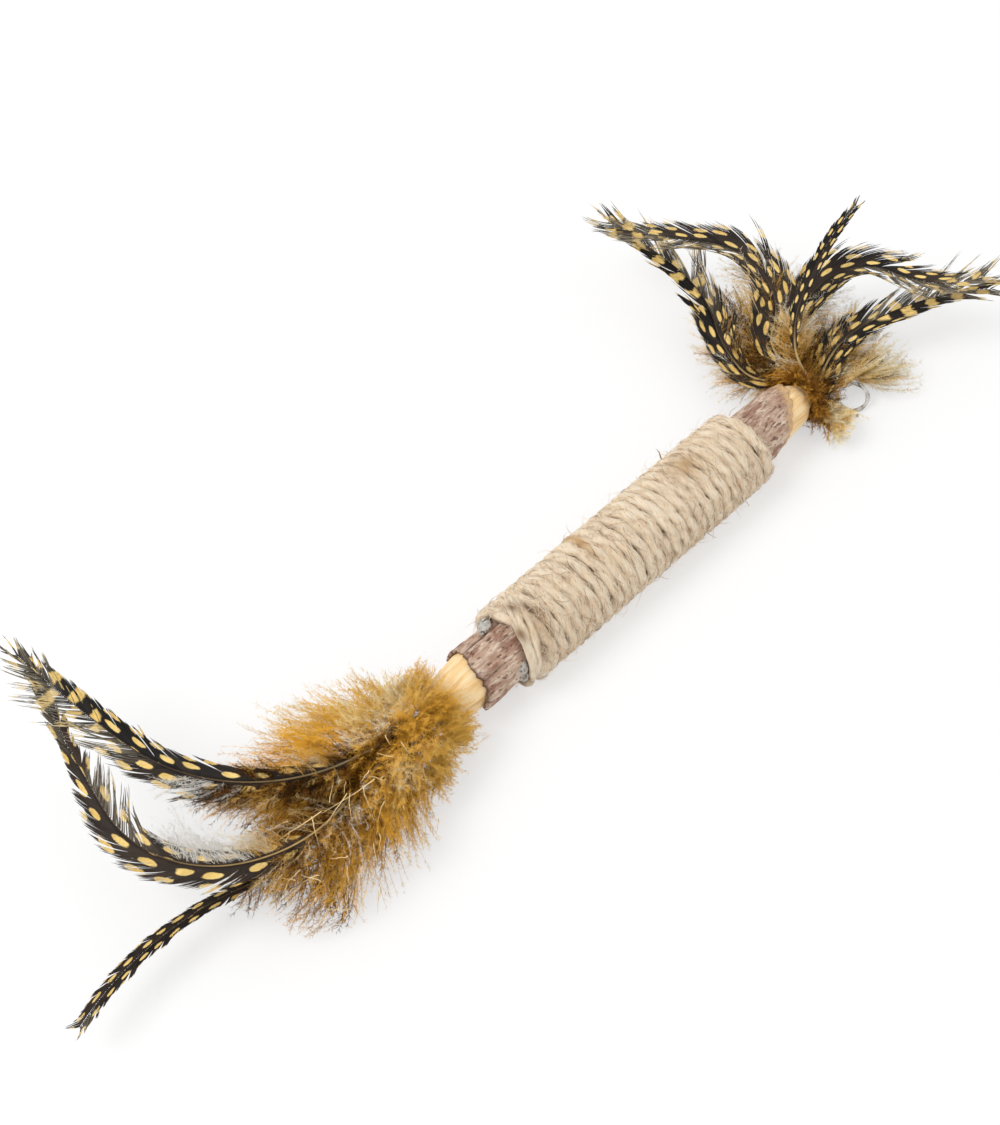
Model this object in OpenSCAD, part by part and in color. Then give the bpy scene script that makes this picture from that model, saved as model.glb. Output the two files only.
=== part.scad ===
// Feathered twig toy for a cat: a short twig with its bark, both ends pared to bare wood,
// bound with twine in the middle, with down plumes and spotted feathers glued in both ends.
// The twig's pith line runs along X. The origin lies on the table, under the winding.
// Left means the end at -X, right the end at +X, back the side at +Y and front the side at -Y.

/* [Twig] */
// Bark to the left of the origin
bark_left = 54; // [50:0.2:65]
// Bark to the right of the origin, on its middle line
bark_right = 48.6; // [46:0.2:65]
// Diameter over the bark, under the winding
bark_d = 14.2; // [12:0.1:18]
// Diameter over the bark at its left end
bark_left_d = 14.8; // [13.4:0.1:18]
// Diameter over the bark at its right end
bark_right_d = 13.2; // [11.6:0.1:18]
// Thickness of the bark
bark_t = 0.8; // [0.5:0.05:1]
// Slant of the bark's right end, in degrees
bark_slant = 36; // [0:1:40]
// Pared wood beyond the bark, on the left
pared_left = 12; // [10:0.2:20]
// Pared wood beyond the bark, on the right
pared_right = 8.6; // [7:0.2:12]
// Diameter of the pared wood at either tip
pared_tip_d = 10.4; // [9:0.1:11]
// Diameter of the pith
pith_d = 1.8; // [1.2:0.1:2.4]

/* [Winding] */
// Diameter of the twine
twine_d = 2.7; // [2:0.05:2.8]
// From one turn of the twine to the next
twine_pitch = 3.25; // [3.25:0.01:3.4]
// Whole turns round the twig
twine_turns = 24; // [20:1:24]

/* [Sockets and glue] */
// Diameter of the socket drilled in either end
socket_d = 6.2; // [5.8:0.1:6.8]
// Depth of either socket
socket_depth = 12; // [9:0.5:16]
// Diameter of the glue string's ring
glue_ring_d = 5.4; // [4:0.1:7]
// How far beyond the right glue plug the ring lies
glue_ring_reach = 12; // [10:0.5:16]
// How far in front of the pith line the ring lies
glue_ring_side = 10; // [9:0.5:13]
// Thickness of the glue string
glue_string_d = 0.8; // [0.5:0.05:1]
// Diameter of the dabs of glue at the winding's left end
glue_dab_d = 5; // [4:0.1:5.6]

/* [Feathers] */
// Diameter of a feather's bare quill
quill_d = 1.2; // [0.9:0.05:1.3]
// How far each quill reaches into its glue
quill_grip = 9; // [6:0.5:11]
// Upper left feather, from the glue to its tip
upper_left_len = 105; // [90:1:115]
// Lower left feather
lower_left_len = 127; // [115:1:135]
// Narrow left feather
narrow_left_len = 101; // [90:1:112]
// Outer back feather on the right
outer_back_len = 71; // [62:1:78]
// Inner back feather on the right
inner_back_len = 73; // [66:1:80]
// Narrow right feather
narrow_right_len = 51; // [46:1:60]
// Inner front feather on the right
inner_front_len = 76; // [70:1:82]
// Outer front feather on the right
outer_front_len = 60; // [54:1:66]
// Width of the vanes of the two large feathers on the left
left_vane_w = 8; // [6:0.2:9]
// Width of the vanes of the four large feathers on the right
right_vane_w = 7; // [5:0.2:8]
// Width of the vanes of the two narrow feathers
narrow_vane_w = 4.6; // [3:0.2:5.4]

/* [Down] */
// How far the left tuft laps over the pared wood
tuft_lap = 5; // [3:0.5:8]
// Length of the left tuft of down, along the twig
tuft_len = 61; // [52:1:70]
// Width of the left tuft of down, across the twig
tuft_w = 47; // [38:1:54]
// Height of the left tuft above the pith line
tuft_rise = 13.4; // [12:0.2:15]
// Thickness of the down round the left tuft's hollow
tuft_wall = 3; // [2:0.25:4]
// Length of the longer plumes on the right
right_plume_len = 28; // [22:1:34]
// Width of the widest plume on the right
right_plume_w = 12; // [8:0.5:13]
// Height of the tallest plume on the right
right_plume_h = 8; // [5:0.5:8.4]

/* [Hidden] */

// Room between pieces that are glued or wound, and round the plumes
fit = 0.05;
soft_fit = 0.3;
// One overrun serves all the cuts
overrun = 1;
round_fn = 48;
fine_fn = 24;

// The twine is a hexagon in section, with flats towards the twig and away from it
twine_sides = 6;
rings_per_turn = 24;
ring_step = 360 / rings_per_turn;
twine_r = twine_d / 2;
twine_flat = twine_r * cos(180 / twine_sides);
twine_lift = 0.15;
winding_r = bark_d / 2 + twine_lift + twine_flat;
winding_outer_r = winding_r + twine_flat;
// The winding rests on flats, which are cut a tenth of the twine's diameter deep
rest_cut = twine_d / 10;
pith_z = winding_outer_r * cos(ring_step / 2) - rest_cut;
// The twine starts on the lower front, this many rings before its lowest point. A flat then
// lies under the origin, between two rings, with more turns to its left than to its right
lead_rings = 3.5;
start_angle = 270 - lead_rings * ring_step;
ring_count = twine_turns * rings_per_turn;
origin_ring = (floor(twine_turns / 2) + 1) * rings_per_turn + lead_rings;
winding_start_x = -origin_ring * twine_pitch / rings_per_turn;
winding_end_x = winding_start_x + twine_turns * twine_pitch;
winding_edge_x = winding_start_x - twine_r;

// Where the bark starts to swell towards its left end and to narrow towards its right end
swell_x = winding_start_x - twine_d;
narrow_x = winding_end_x + twine_d;
slant_reach = bark_right_d / 2 * tan(bark_slant);
// The knife left the bark longer on the upper back: this angle from +Y towards +Z
slant_turn = 45;
left_tip_x = -bark_left - pared_left;
right_tip_x = bark_right + pared_right;
// The glue stands out of its socket as a low dome, which meets the socket's edge
glue_cap = 1;
cap_r = (pow(socket_d / 2, 2) + pow(glue_cap, 2)) / 2 / glue_cap;
plug_len = socket_depth + glue_cap - fit;
upper_dab_angle = 60;
lower_dab_angle = 190;
dab_sink_share = 0.25;
// The glue string leaves the plug at this place on it, and joins its tilted ring at this angle
string_root_share = [-0.7, -0.5];
string_thread_share = 0.8;
string_join_angle = 103;
string_fn = 14;
ring_tilt = 35;
ring_turn = 40;
left_mouth_x = left_tip_x - glue_cap;
right_mouth_x = right_tip_x + glue_cap;
plug_r = socket_d / 2 - fit;

// How far a quill and its vane stand apart where they meet, which is where the feather flexes
flex_gap = 0.4;
feather_steps = 40;
quill_sides = 6;

// Each feather's root across the plug as shares of the plug's radius, the share of its length
// that is bare quill, and its turns as [share of length, yaw, pitch]
upper_left_shares = [[0.24, 0.4], 0.35,
    [[0, 180, 10], [0.1, 188, 24], [0.25, 174, 22], [0.45, 140, 10], [0.7, 98, 4], [1, 94, 8]]];
lower_left_shares = [[-0.32, 0.28], 0.36,
    [[0, 180, 6], [0.1, 190, 14], [0.25, 196, 14], [0.45, 150, 6], [0.7, 78, 2], [1, 70, 8]]];
narrow_left_shares = [[-0.1, -0.5], 0.56,
    [[0, 180, 0], [0.1, 206, -2], [0.25, 198, 0], [0.45, 152, 4], [0.7, 174, 2], [1, 198, 0]]];
outer_back_shares = [[0.56, -0.08], 0.25,
    [[0, 10, 0], [0.1, 160, 0], [0.25, 80, 4], [0.45, 56, 10], [0.7, 94, 14], [1, 104, 8]]];
inner_back_shares = [[0.3, 0.5], 0.16,
    [[0, 10, 6], [0.1, 116, 16], [0.25, 24, 16], [0.45, 74, 14], [0.7, 136, 10], [1, 122, 2]]];
narrow_right_shares = [[-0.26, 0.54], 0.25,
    [[0, 5, 10], [0.1, 88, 34], [0.25, 48, 32], [0.45, 22, 26], [0.7, 14, 20], [1, -2, 20]]];
inner_front_shares = [[-0.04, -0.04], 0.2,
    [[0, 5, 4], [0.1, 86, 12], [0.25, 24, 14], [0.45, -4, 14], [0.7, -88, 10], [1, -22, 2]]];
outer_front_shares = [[-0.58, -0.2], 0.14,
    [[0, 0, 0], [0.1, 28, 4], [0.25, 12, 8], [0.45, -18, 10], [0.7, -30, 10], [1, -54, 10]]];

// Feathers: side, length, width of the vane, and the shares above
upper_left = ["left", upper_left_len, left_vane_w, upper_left_shares];
lower_left = ["left", lower_left_len, left_vane_w, lower_left_shares];
narrow_left = ["left", narrow_left_len, narrow_vane_w, narrow_left_shares];
outer_back = ["right", outer_back_len, right_vane_w, outer_back_shares];
inner_back = ["right", inner_back_len, right_vane_w, inner_back_shares];
narrow_right = ["right", narrow_right_len, narrow_vane_w, narrow_right_shares];
inner_front = ["right", inner_front_len, right_vane_w, inner_front_shares];
outer_front = ["right", outer_front_len, right_vane_w, outer_front_shares];
LEFT_FEATHERS = [upper_left, lower_left, narrow_left];
RIGHT_FEATHERS = [outer_back, inner_back, narrow_right, inner_front, outer_front];

// A vane's half width along its length, and a shaft that thins to its tip
vane_shares = [[0, 0.16], [0.08, 0.5], [0.25, 0.9], [0.45, 1], [0.7, 0.84], [0.88, 0.5], [1, 0.12]];
vane_steps = 20;
vane_edge_t = 0.3;
shaft_tip_share = 0.4;
// A vane's half width is never less than this share of its shaft's radius
web_least_share = 1.02;

// The left tuft is a hollow bell of five plumes round the quills, cut level under the twig
tuft_start_x = left_tip_x + tuft_lap;
tuft_width_shares = [[0, 0.4], [0.06, 0.62], [0.2, 0.85], [0.4, 1], [0.6, 0.98], [0.8, 0.8], [1, 0.42]];
tuft_rise_shares = [[0, 0.6], [0.15, 0.76], [0.35, 0.95], [0.55, 1], [0.75, 0.92], [0.9, 0.74], [1, 0.5]];
tuft_steps = 10;
tuft_facets = 5;
// Angles from +Y towards +Z at which the tuft parts, and how wide it parts there
upper_slit = 85;
lower_slit = 122;
front_slit = 200;
back_slit = 340;
under_slit = (front_slit + back_slit) / 2;
quill_slit_room = 1.3;
quill_slit_w = quill_d + 2 * quill_slit_room;

// The plumes on the right lie under the quills: root along X from the plug's mouth, across it and
// below the pith line, as shares of the plug's radius, then yaw, and shares of the right plumes'
// length, width and height
back_plume_shares = [[0.2, 1.33, 1.5], 94, [1, 0.95, 0.8]];
middle_plume_shares = [[0, 0.34, 1.3], 30, [0.9, 0.8, 1]];
front_plume_shares = [[-0.18, -0.48, 1.3], -8, [1.1, 0.9, 1]];
low_plume_shares = [[0.33, -1.33, 1.3], -72, [0.5, 0.75, 0.9]];
plume_peak_share = 0.6;
plume_close_angle = 80;
plume_close_power = 0.6;
plume_steps = 10;
plume_facets = 12;

function unit(v) = v / norm(v);
function direction(yaw, pitch) = [cos(pitch) * cos(yaw), cos(pitch) * sin(yaw), sin(pitch)];
function column(table, n) = [for (row = table) [row[0], row[n]]];

// The middle line of a feather, as points that follow its yaw and its pitch
function feather_root(f) = [
    f[0] == "left" ? left_mouth_x : right_mouth_x,
    f[3][0][0] * plug_r,
    pith_z + f[3][0][1] * plug_r
];
function feather_flex_share(f) = f[3][1];
function feather_turn(f, s) = direction(lookup(s, column(f[3][2], 1)), lookup(s, column(f[3][2], 2)));
function feather_line(f) = [
    for (i = 0, p = feather_root(f); i <= feather_steps;
         p = p + f[1] / feather_steps * feather_turn(f, (i + 0.5) / feather_steps), i = i + 1) p
];
function feather_point(line, s) =
    let (at = s * feather_steps, i = min(floor(at), feather_steps - 1))
    line[i] + (at - i) * (line[i + 1] - line[i]);
function feather_flex(f) = feather_point(feather_line(f), feather_flex_share(f));
function feather_chord(f) = feather_line(f)[feather_steps] - feather_flex(f);

// Skin over rings of points: rings run along the piece, and each ring has the same count
function ring_caps(n, first, turned) = [
    for (j = [1:n - 2]) turned ? [first, first + j, first + j + 1] : [first, first + j + 1, first + j]
];
function ring_skin(n, rings) = [
    for (i = [0:rings - 2], j = [0:n - 1])
        let (a = i * n + j, b = i * n + (j + 1) % n)
        each [[a, a + n, b], [b, a + n, b + n]]
];
module skinned(rings) {
    n = len(rings[0]);
    count = len(rings);
    polyhedron(
        points = [for (ring = rings) each ring],
        faces = concat(ring_caps(n, 0, true), ring_skin(n, count), ring_caps(n, (count - 1) * n, false))
    );
}

// A ring of points round one point of a line, in a plane square to the line
function line_ring(centre, along, section) =
    let (side = unit(cross([0, 0, 1], along)), normal = unit(cross(along, side)))
    [for (q = section) centre + q[0] * side + q[1] * normal];
function line_along(points, i) =
    unit(points[min(i + 1, len(points) - 1)] - points[max(i - 1, 0)]);
function round_section(r, sides) = [for (j = [0:sides - 1]) r * [cos(360 * j / sides), sin(360 * j / sides)]];
function blade_section(half_w, shaft_r, edge_r) = [
    [half_w, edge_r], [shaft_r, shaft_r], [-shaft_r, shaft_r], [-half_w, edge_r],
    [-half_w, -edge_r], [-shaft_r, -shaft_r], [shaft_r, -shaft_r], [half_w, -edge_r]
];

// Pieces turned about the pith line
module along_pith() translate([0, 0, pith_z]) rotate([0, 90, 0]) children();
module pith_rod(x0, x1, r) {
    along_pith() translate([0, 0, x0]) cylinder(h = x1 - x0, r = r, $fn = round_fn);
}
module turned(outline) {
    along_pith() rotate_extrude($fn = round_fn) polygon([for (q = outline) [q[1], q[0]]]);
}
function bark_outline(inset) = [
    [-bark_left, bark_left_d / 2 - inset],
    [swell_x, bark_d / 2 - inset],
    [narrow_x, bark_d / 2 - inset],
    [bark_right, bark_right_d / 2 - inset]
];

module wood_core() {
    color("#e8c98f") difference() {
        turned(concat(
            [[left_tip_x, 0], [left_tip_x, pared_tip_d / 2]],
            bark_outline(bark_t + fit),
            [[right_tip_x, pared_tip_d / 2], [right_tip_x, 0]]
        ));
        pith_rod(left_tip_x - overrun, left_tip_x + socket_depth, socket_d / 2);
        pith_rod(right_tip_x - socket_depth, right_tip_x + overrun, socket_d / 2);
        pith_rod(left_tip_x, right_tip_x, pith_d / 2 + fit);
    }
}

module pith() {
    color("#b98d57") pith_rod(left_tip_x + socket_depth, right_tip_x - socket_depth, pith_d / 2);
}

module bark() {
    color("#a5826a") difference() {
        turned(concat(
            bark_outline(0),
            [[bark_right + slant_reach, bark_right_d / 2], [bark_right + slant_reach, 0], [-bark_left, 0]]
        ));
        turned(concat(
            [[-bark_left - overrun, 0], [-bark_left - overrun, bark_left_d / 2 - bark_t]],
            bark_outline(bark_t),
            [[right_tip_x + overrun, bark_right_d / 2 - bark_t], [right_tip_x + overrun, 0]]
        ));
        translate([bark_right, 0, pith_z]) rotate([slant_turn, 0, 0]) rotate([0, 0, -bark_slant])
            translate([0, -bark_d, -bark_d]) cube([2 * bark_d, 2 * bark_d, 2 * bark_d]);
    }
}

// The twine's rings, and one more at either end, where it runs straight for its own diameter
function held_ring(i) = min(max(i, 0), ring_count);
function ring_angle(i) = start_angle + held_ring(i) * ring_step;
function ring_x(i) = (held_ring(i) - origin_ring) * twine_pitch / rings_per_turn;
function ring_centre(i) =
    let (a = ring_angle(i))
    [ring_x(i), winding_r * cos(a), pith_z + winding_r * sin(a)]
    + (i - held_ring(i)) * twine_d * [0, -sin(a), cos(a)];
function twine_ring(i) = [
    for (k = [0:twine_sides - 1])
        let (a = ring_angle(i), b = 360 * k / twine_sides,
            q = ring_centre(i) + twine_r * [cos(b), sin(b) * cos(a), sin(b) * sin(a)])
        [q[0], q[1], max(q[2], 0)]
];

module twine_winding() {
    rings = [for (i = [-1:ring_count + 1]) twine_ring(i)];
    gaps = [
        for (i = [0:len(rings) - 1 - rings_per_turn], p = rings[i], q = rings[i + rings_per_turn]) norm(p - q)
    ];
    echo(least_gap_between_turns = min(gaps));
    color("#d9bd8c") skinned(rings);
}

// A plug of set glue, with a bore for each quill and a low cap outside its socket
module glue_plug(mouth_x, inwards, feathers) {
    inner_x = mouth_x + inwards * plug_len;
    color("#e9e2cf", 0.6) difference() {
        intersection() {
            pith_rod(min(mouth_x, inner_x), max(mouth_x, inner_x), plug_r);
            translate([mouth_x + inwards * cap_r, 0, pith_z]) union() {
                sphere(r = cap_r, $fn = round_fn);
                translate([inwards * plug_len, 0, 0]) cube(2 * plug_len, center = true);
            }
        }
        for (f = feathers)
            translate([mouth_x + inwards * (quill_grip + fit), feather_root(f)[1], feather_root(f)[2]])
                rotate([0, -inwards * 90, 0])
                    cylinder(h = quill_grip + overrun, r = quill_d / 2 + fit, $fn = fine_fn);
    }
}
module left_glue_plug() { glue_plug(left_mouth_x, 1, LEFT_FEATHERS); }
module right_glue_plug() { glue_plug(right_mouth_x, -1, RIGHT_FEATHERS); }

// A dab of glue on the bark, at an angle round the twig from +Y towards +Z
module glue_dab(angle) {
    x = winding_edge_x - glue_dab_d / 2 - soft_fit;
    seat_r = bark_left_d / 2 + fit;
    middle_r = seat_r - glue_dab_d * dab_sink_share;
    color("#cfd3d2", 0.6) difference() {
        translate([x, middle_r * cos(angle), pith_z + middle_r * sin(angle)])
            sphere(d = glue_dab_d, $fn = fine_fn);
        pith_rod(x - glue_dab_d, x + glue_dab_d, seat_r);
    }
}
module upper_glue_dab() { glue_dab(upper_dab_angle); }
module lower_glue_dab() { glue_dab(lower_dab_angle); }

// A thread of glue that ran out of the right socket and curled into a ring on the table
module glue_string() {
    ring_r = (glue_ring_d - glue_string_d) / 2;
    root = plug_r * string_root_share;
    dome_drop = cap_r - sqrt(pow(cap_r, 2) - pow(norm(root), 2));
    from = [right_mouth_x - dome_drop + soft_fit, root[0], pith_z + root[1]];
    middle = [right_mouth_x + glue_ring_reach, -glue_ring_side, ring_r * sin(ring_tilt) + glue_string_d];
    level = ring_r * [cos(string_join_angle), sin(string_join_angle) * cos(ring_tilt)];
    join = [
        level[0] * cos(ring_turn) - level[1] * sin(ring_turn),
        level[0] * sin(ring_turn) + level[1] * cos(ring_turn),
        ring_r * sin(string_join_angle) * sin(ring_tilt)
    ];
    run = middle + join - from;
    color("#f2f2ee", 0.6) union() {
        translate(middle) rotate([ring_tilt, 0, ring_turn]) rotate_extrude($fn = fine_fn)
            translate([ring_r, 0]) circle(d = glue_string_d, $fn = string_fn);
        translate(from) rotate([0, acos(run[2] / norm(run)), atan2(run[1], run[0])])
            cylinder(h = norm(run), d = glue_string_d * string_thread_share, $fn = fine_fn);
    }
}

// A quill runs straight through its glue, then along its feather up to where the feather flexes
module quill(f) {
    line = feather_line(f);
    back = (f[0] == "left" ? 1 : -1) * [quill_grip, 0, 0];
    last = feather_flex_share(f) - flex_gap / 2 / f[1];
    count = ceil(last * feather_steps);
    free = [for (i = [0:count - 1]) line[i], feather_point(line, last)];
    points = concat([line[0] + back], free);
    color("#d8cba8") skinned([
        for (i = [0:len(points) - 1])
            let (along = i < 2 ? -back : line_along(points, i))
            line_ring(points[i], along, round_section(quill_d / 2, quill_sides))
    ]);
}

// A vane starts where its feather flexes: a shaft that thins, with a flat web on either side
module vane(f) {
    line = feather_line(f);
    first = feather_flex_share(f) + flex_gap / 2 / f[1];
    points = [for (i = [0:vane_steps]) feather_point(line, first + (1 - first) * i / vane_steps)];
    color("#3b3226") skinned([
        for (i = [0:vane_steps])
            let (
                t = i / vane_steps,
                r = quill_d / 2 * (1 - t * (1 - shaft_tip_share)),
                half_w = max(f[2] / 2 * lookup(t, vane_shares), r * web_least_share)
            )
            line_ring(points[i], line_along(points, i), blade_section(half_w, r, vane_edge_t / 2))
    ]);
}
module upper_left_quill() { quill(upper_left); }
module lower_left_quill() { quill(lower_left); }
module narrow_left_quill() { quill(narrow_left); }
module outer_back_quill() { quill(outer_back); }
module inner_back_quill() { quill(inner_back); }
module narrow_right_quill() { quill(narrow_right); }
module inner_front_quill() { quill(inner_front); }
module outer_front_quill() { quill(outer_front); }
module upper_left_vane() { vane(upper_left); }
module lower_left_vane() { vane(lower_left); }
module narrow_left_vane() { vane(narrow_left); }
module outer_back_vane() { vane(outer_back); }
module inner_back_vane() { vane(inner_back); }
module narrow_right_vane() { vane(narrow_right); }
module inner_front_vane() { vane(inner_front); }
module outer_front_vane() { vane(outer_front); }

// How far the left tuft reaches from the pith line, at a share of its length and an angle:
// an oval above, a circle cut level below
function tuft_reach(t, a) =
    let (w = tuft_w / 2 * lookup(t, tuft_width_shares), h = tuft_rise * lookup(t, tuft_rise_shares))
    sin(a) < 0 ? min(w, (pith_z - soft_fit) / -sin(a)) : 1 / norm([cos(a) / w, sin(a) / h]);
function tuft_hollow(t, a) =
    let (x = tuft_start_x - t * tuft_len, inner = tuft_reach(t, a) - tuft_wall)
    x > left_mouth_x - soft_fit ? max(inner, bark_left_d / 2 - bark_t + soft_fit) : inner;
function tuft_point(t, r, a) = [tuft_start_x - t * tuft_len, r * cos(a), pith_z + r * sin(a)];

// One plume of the left tuft, between two slits, as a curved slab of down
module tuft_plume(from_a, to_a, from_slit, to_slit) {
    function side(r, v) =
        let (a = from_a + asin(from_slit / 2 / r), b = to_a - asin(to_slit / 2 / r)) a + (b - a) * v;
    function outer(t, v) =
        let (a = side(tuft_reach(t, from_a + (to_a - from_a) * v), v)) tuft_point(t, tuft_reach(t, a), a);
    function inner(t, v) =
        let (a = side(tuft_hollow(t, from_a + (to_a - from_a) * v), v)) tuft_point(t, tuft_hollow(t, a), a);
    color("#c2913f") skinned([
        for (i = [0:tuft_steps])
            concat(
                [for (j = [0:tuft_facets]) inner(i / tuft_steps, j / tuft_facets)],
                [for (j = [tuft_facets:-1:0]) outer(i / tuft_steps, j / tuft_facets)]
            )
    ]);
}
module top_left_plume() { tuft_plume(upper_slit, lower_slit, quill_slit_w, quill_slit_w); }
module front_left_plume() { tuft_plume(lower_slit, front_slit, quill_slit_w, soft_fit); }
module under_front_left_plume() { tuft_plume(front_slit, under_slit, soft_fit, soft_fit); }
module under_back_left_plume() { tuft_plume(under_slit, back_slit, soft_fit, soft_fit); }
module back_left_plume() { tuft_plume(back_slit, upper_slit + 360, soft_fit, quill_slit_w); }

// A plume on the right swells along its way, closes to its tip and lies level on the table
module right_plume(p) {
    root = [right_mouth_x, 0, pith_z] + plug_r * [p[0][0], p[0][1], -p[0][2]];
    along = direction(p[1], 0);
    size = [right_plume_len * p[2][0], right_plume_w * p[2][1] / 2, right_plume_h * p[2][2] / 2];
    function swell(s) = s < plume_peak_share ? (1 - cos(180 * s / plume_peak_share)) / 2 : 1;
    function close(s) = s < plume_peak_share ? 1
        : pow(cos(plume_close_angle * (s - plume_peak_share) / (1 - plume_peak_share)), plume_close_power);
    function half(s, full) = close(s) * (quill_d + (full - quill_d) * swell(s));
    color("#a8843f") skinned([
        for (i = [0:plume_steps])
            let (s = i / plume_steps, oval = [
                for (q = round_section(1, plume_facets)) [q[0] * half(s, size[1]), q[1] * half(s, size[2])]
            ])
            [for (q = line_ring(root + s * size[0] * along, along, oval)) [q[0], q[1], max(q[2], soft_fit)]]
    ]);
}
module back_right_plume() { right_plume(back_plume_shares); }
module middle_right_plume() { right_plume(middle_plume_shares); }
module front_right_plume() { right_plume(front_plume_shares); }
module low_right_plume() { right_plume(low_plume_shares); }

// Prints where each feather flexes, and the level axis about which its tip rises
for (f = concat(LEFT_FEATHERS, RIGHT_FEATHERS))
    echo(flexes_at = feather_flex(f), about = unit(cross(feather_chord(f), [0, 0, 1])));

wood_core();
pith();
bark();
twine_winding();
left_glue_plug();
right_glue_plug();
upper_glue_dab();
lower_glue_dab();
glue_string();
upper_left_quill();
lower_left_quill();
narrow_left_quill();
outer_back_quill();
inner_back_quill();
narrow_right_quill();
inner_front_quill();
outer_front_quill();
upper_left_vane();
lower_left_vane();
narrow_left_vane();
outer_back_vane();
inner_back_vane();
narrow_right_vane();
inner_front_vane();
outer_front_vane();
top_left_plume();
front_left_plume();
under_front_left_plume();
under_back_left_plume();
back_left_plume();
back_right_plume();
middle_right_plume();
front_right_plume();
low_right_plume();
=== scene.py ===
"""The looks of a cat's feathered twig toy: every visible piece, its finishes and the stage it is shown on.

Lengths in the tables and in the mesh code are millimetres, as in the part's source. Angles round the twig run
from the back, +Y, up to +Z. Left is the golden end at -X, right the brown end at +X.
"""

import math

import bpy
import numpy as np
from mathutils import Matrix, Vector


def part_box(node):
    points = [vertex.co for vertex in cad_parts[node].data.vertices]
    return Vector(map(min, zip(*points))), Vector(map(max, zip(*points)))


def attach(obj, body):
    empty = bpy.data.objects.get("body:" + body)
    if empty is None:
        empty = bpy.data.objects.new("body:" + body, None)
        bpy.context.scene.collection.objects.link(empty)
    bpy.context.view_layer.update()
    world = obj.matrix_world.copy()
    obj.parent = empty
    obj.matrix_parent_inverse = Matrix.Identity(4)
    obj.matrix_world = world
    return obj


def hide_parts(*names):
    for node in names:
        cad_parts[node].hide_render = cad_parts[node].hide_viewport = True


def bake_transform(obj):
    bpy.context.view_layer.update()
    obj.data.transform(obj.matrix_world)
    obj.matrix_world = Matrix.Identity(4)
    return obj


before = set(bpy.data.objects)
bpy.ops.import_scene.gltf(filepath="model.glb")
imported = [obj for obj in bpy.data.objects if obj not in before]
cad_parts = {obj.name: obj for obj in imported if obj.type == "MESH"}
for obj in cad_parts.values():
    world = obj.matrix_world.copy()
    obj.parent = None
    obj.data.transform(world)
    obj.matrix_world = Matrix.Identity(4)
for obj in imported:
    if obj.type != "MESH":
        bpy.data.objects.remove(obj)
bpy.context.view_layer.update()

bl_info = {
    "name": "Feathered twig toy",
    "version": (1, 0, 0),
    "blender": (4, 5, 0),
    "location": "View3D > Sidebar > Twig toy",
    "description": "Dresses the twig toy's frame with bark, twine, glue, feathers and down",
    "category": "Object",
}

MM = 0.001


def cad_box(node):
    """Lowest and highest corner of a CAD node, in millimetres."""
    low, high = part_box(node)
    return np.array(low) / MM, np.array(high) / MM


# Places that the frame gives
WOOD_LOW, WOOD_HIGH = cad_box("wood_core")
BARK_LOW, BARK_HIGH = cad_box("bark")
WINDING_LOW, WINDING_HIGH = cad_box("twine_winding")
PITH_Z = float(sum(v[2] for v in cad_box("pith")) / 2)
SOCKET_R = float(cad_box("left_glue_plug")[1][1]) + 0.05
PLUG_R = SOCKET_R - 0.05
LEFT_MOUTH_X = float(cad_box("left_glue_plug")[0][0])
RIGHT_MOUTH_X = float(cad_box("right_glue_plug")[1][0])
TUFT_START_X = float(cad_box("back_left_plume")[1][0])
TUFT_LEN = float(TUFT_START_X - cad_box("back_left_plume")[0][0])

# Sizes that follow the part's source
SOCKET_DEPTH, CHAMFER, BORE_R = 12, 0.15, 0.95
WOUND_R = 7.15
BARK_R, BARK_WALL, BARK_SLANT = 7.2, 0.8, 4.8
TUFT_HALF_WIDTH, TUFT_HEIGHT = 23.5, 13.4
PLUME_LEN, PLUME_HALF_WIDTH, PLUME_HALF_HEIGHT = 28, 6, 4

# Feathers: side, length, visible width, root across the plug, share of bare quill,
# and turns as (share, yaw, pitch)
FEATHERS = {
    "upper_left": (
        "left", 105, 11, (0.24, 0.4), 0.35,
        ((0, 180, 10), (0.1, 188, 24), (0.25, 174, 22), (0.45, 140, 10), (0.7, 98, 4), (1, 94, 8))),
    "lower_left": (
        "left", 127, 11, (-0.32, 0.28), 0.36,
        ((0, 180, 6), (0.1, 190, 14), (0.25, 196, 14), (0.45, 150, 6), (0.7, 78, 2), (1, 70, 8))),
    "narrow_left": (
        "left", 101, 5, (-0.1, -0.5), 0.56,
        ((0, 180, 0), (0.1, 206, -2), (0.25, 198, 0), (0.45, 152, 4), (0.7, 174, 2), (1, 198, 0))),
    "outer_back": (
        "right", 71, 9, (0.56, -0.08), 0.25,
        ((0, 10, 0), (0.1, 160, 0), (0.25, 80, 4), (0.45, 56, 10), (0.7, 94, 14), (1, 104, 8))),
    "inner_back": (
        "right", 73, 9, (0.3, 0.5), 0.16,
        ((0, 10, 6), (0.1, 116, 16), (0.25, 24, 16), (0.45, 74, 14), (0.7, 136, 10), (1, 122, 2))),
    "narrow_right": (
        "right", 51, 4.6, (-0.26, 0.54), 0.25,
        ((0, 5, 10), (0.1, 88, 34), (0.25, 48, 32), (0.45, 22, 26), (0.7, 14, 20), (1, -2, 20))),
    "inner_front": (
        "right", 76, 9, (-0.04, -0.04), 0.2,
        ((0, 5, 4), (0.1, 86, 12), (0.25, 24, 14), (0.45, -4, 14), (0.7, -88, 10), (1, -22, 2))),
    "outer_front": (
        "right", 60, 9, (-0.58, -0.2), 0.14,
        ((0, 0, 0), (0.1, 28, 4), (0.25, 12, 8), (0.45, -18, 10), (0.7, -30, 10), (1, -54, 10))),
}
LINE_STEPS = 40

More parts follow.
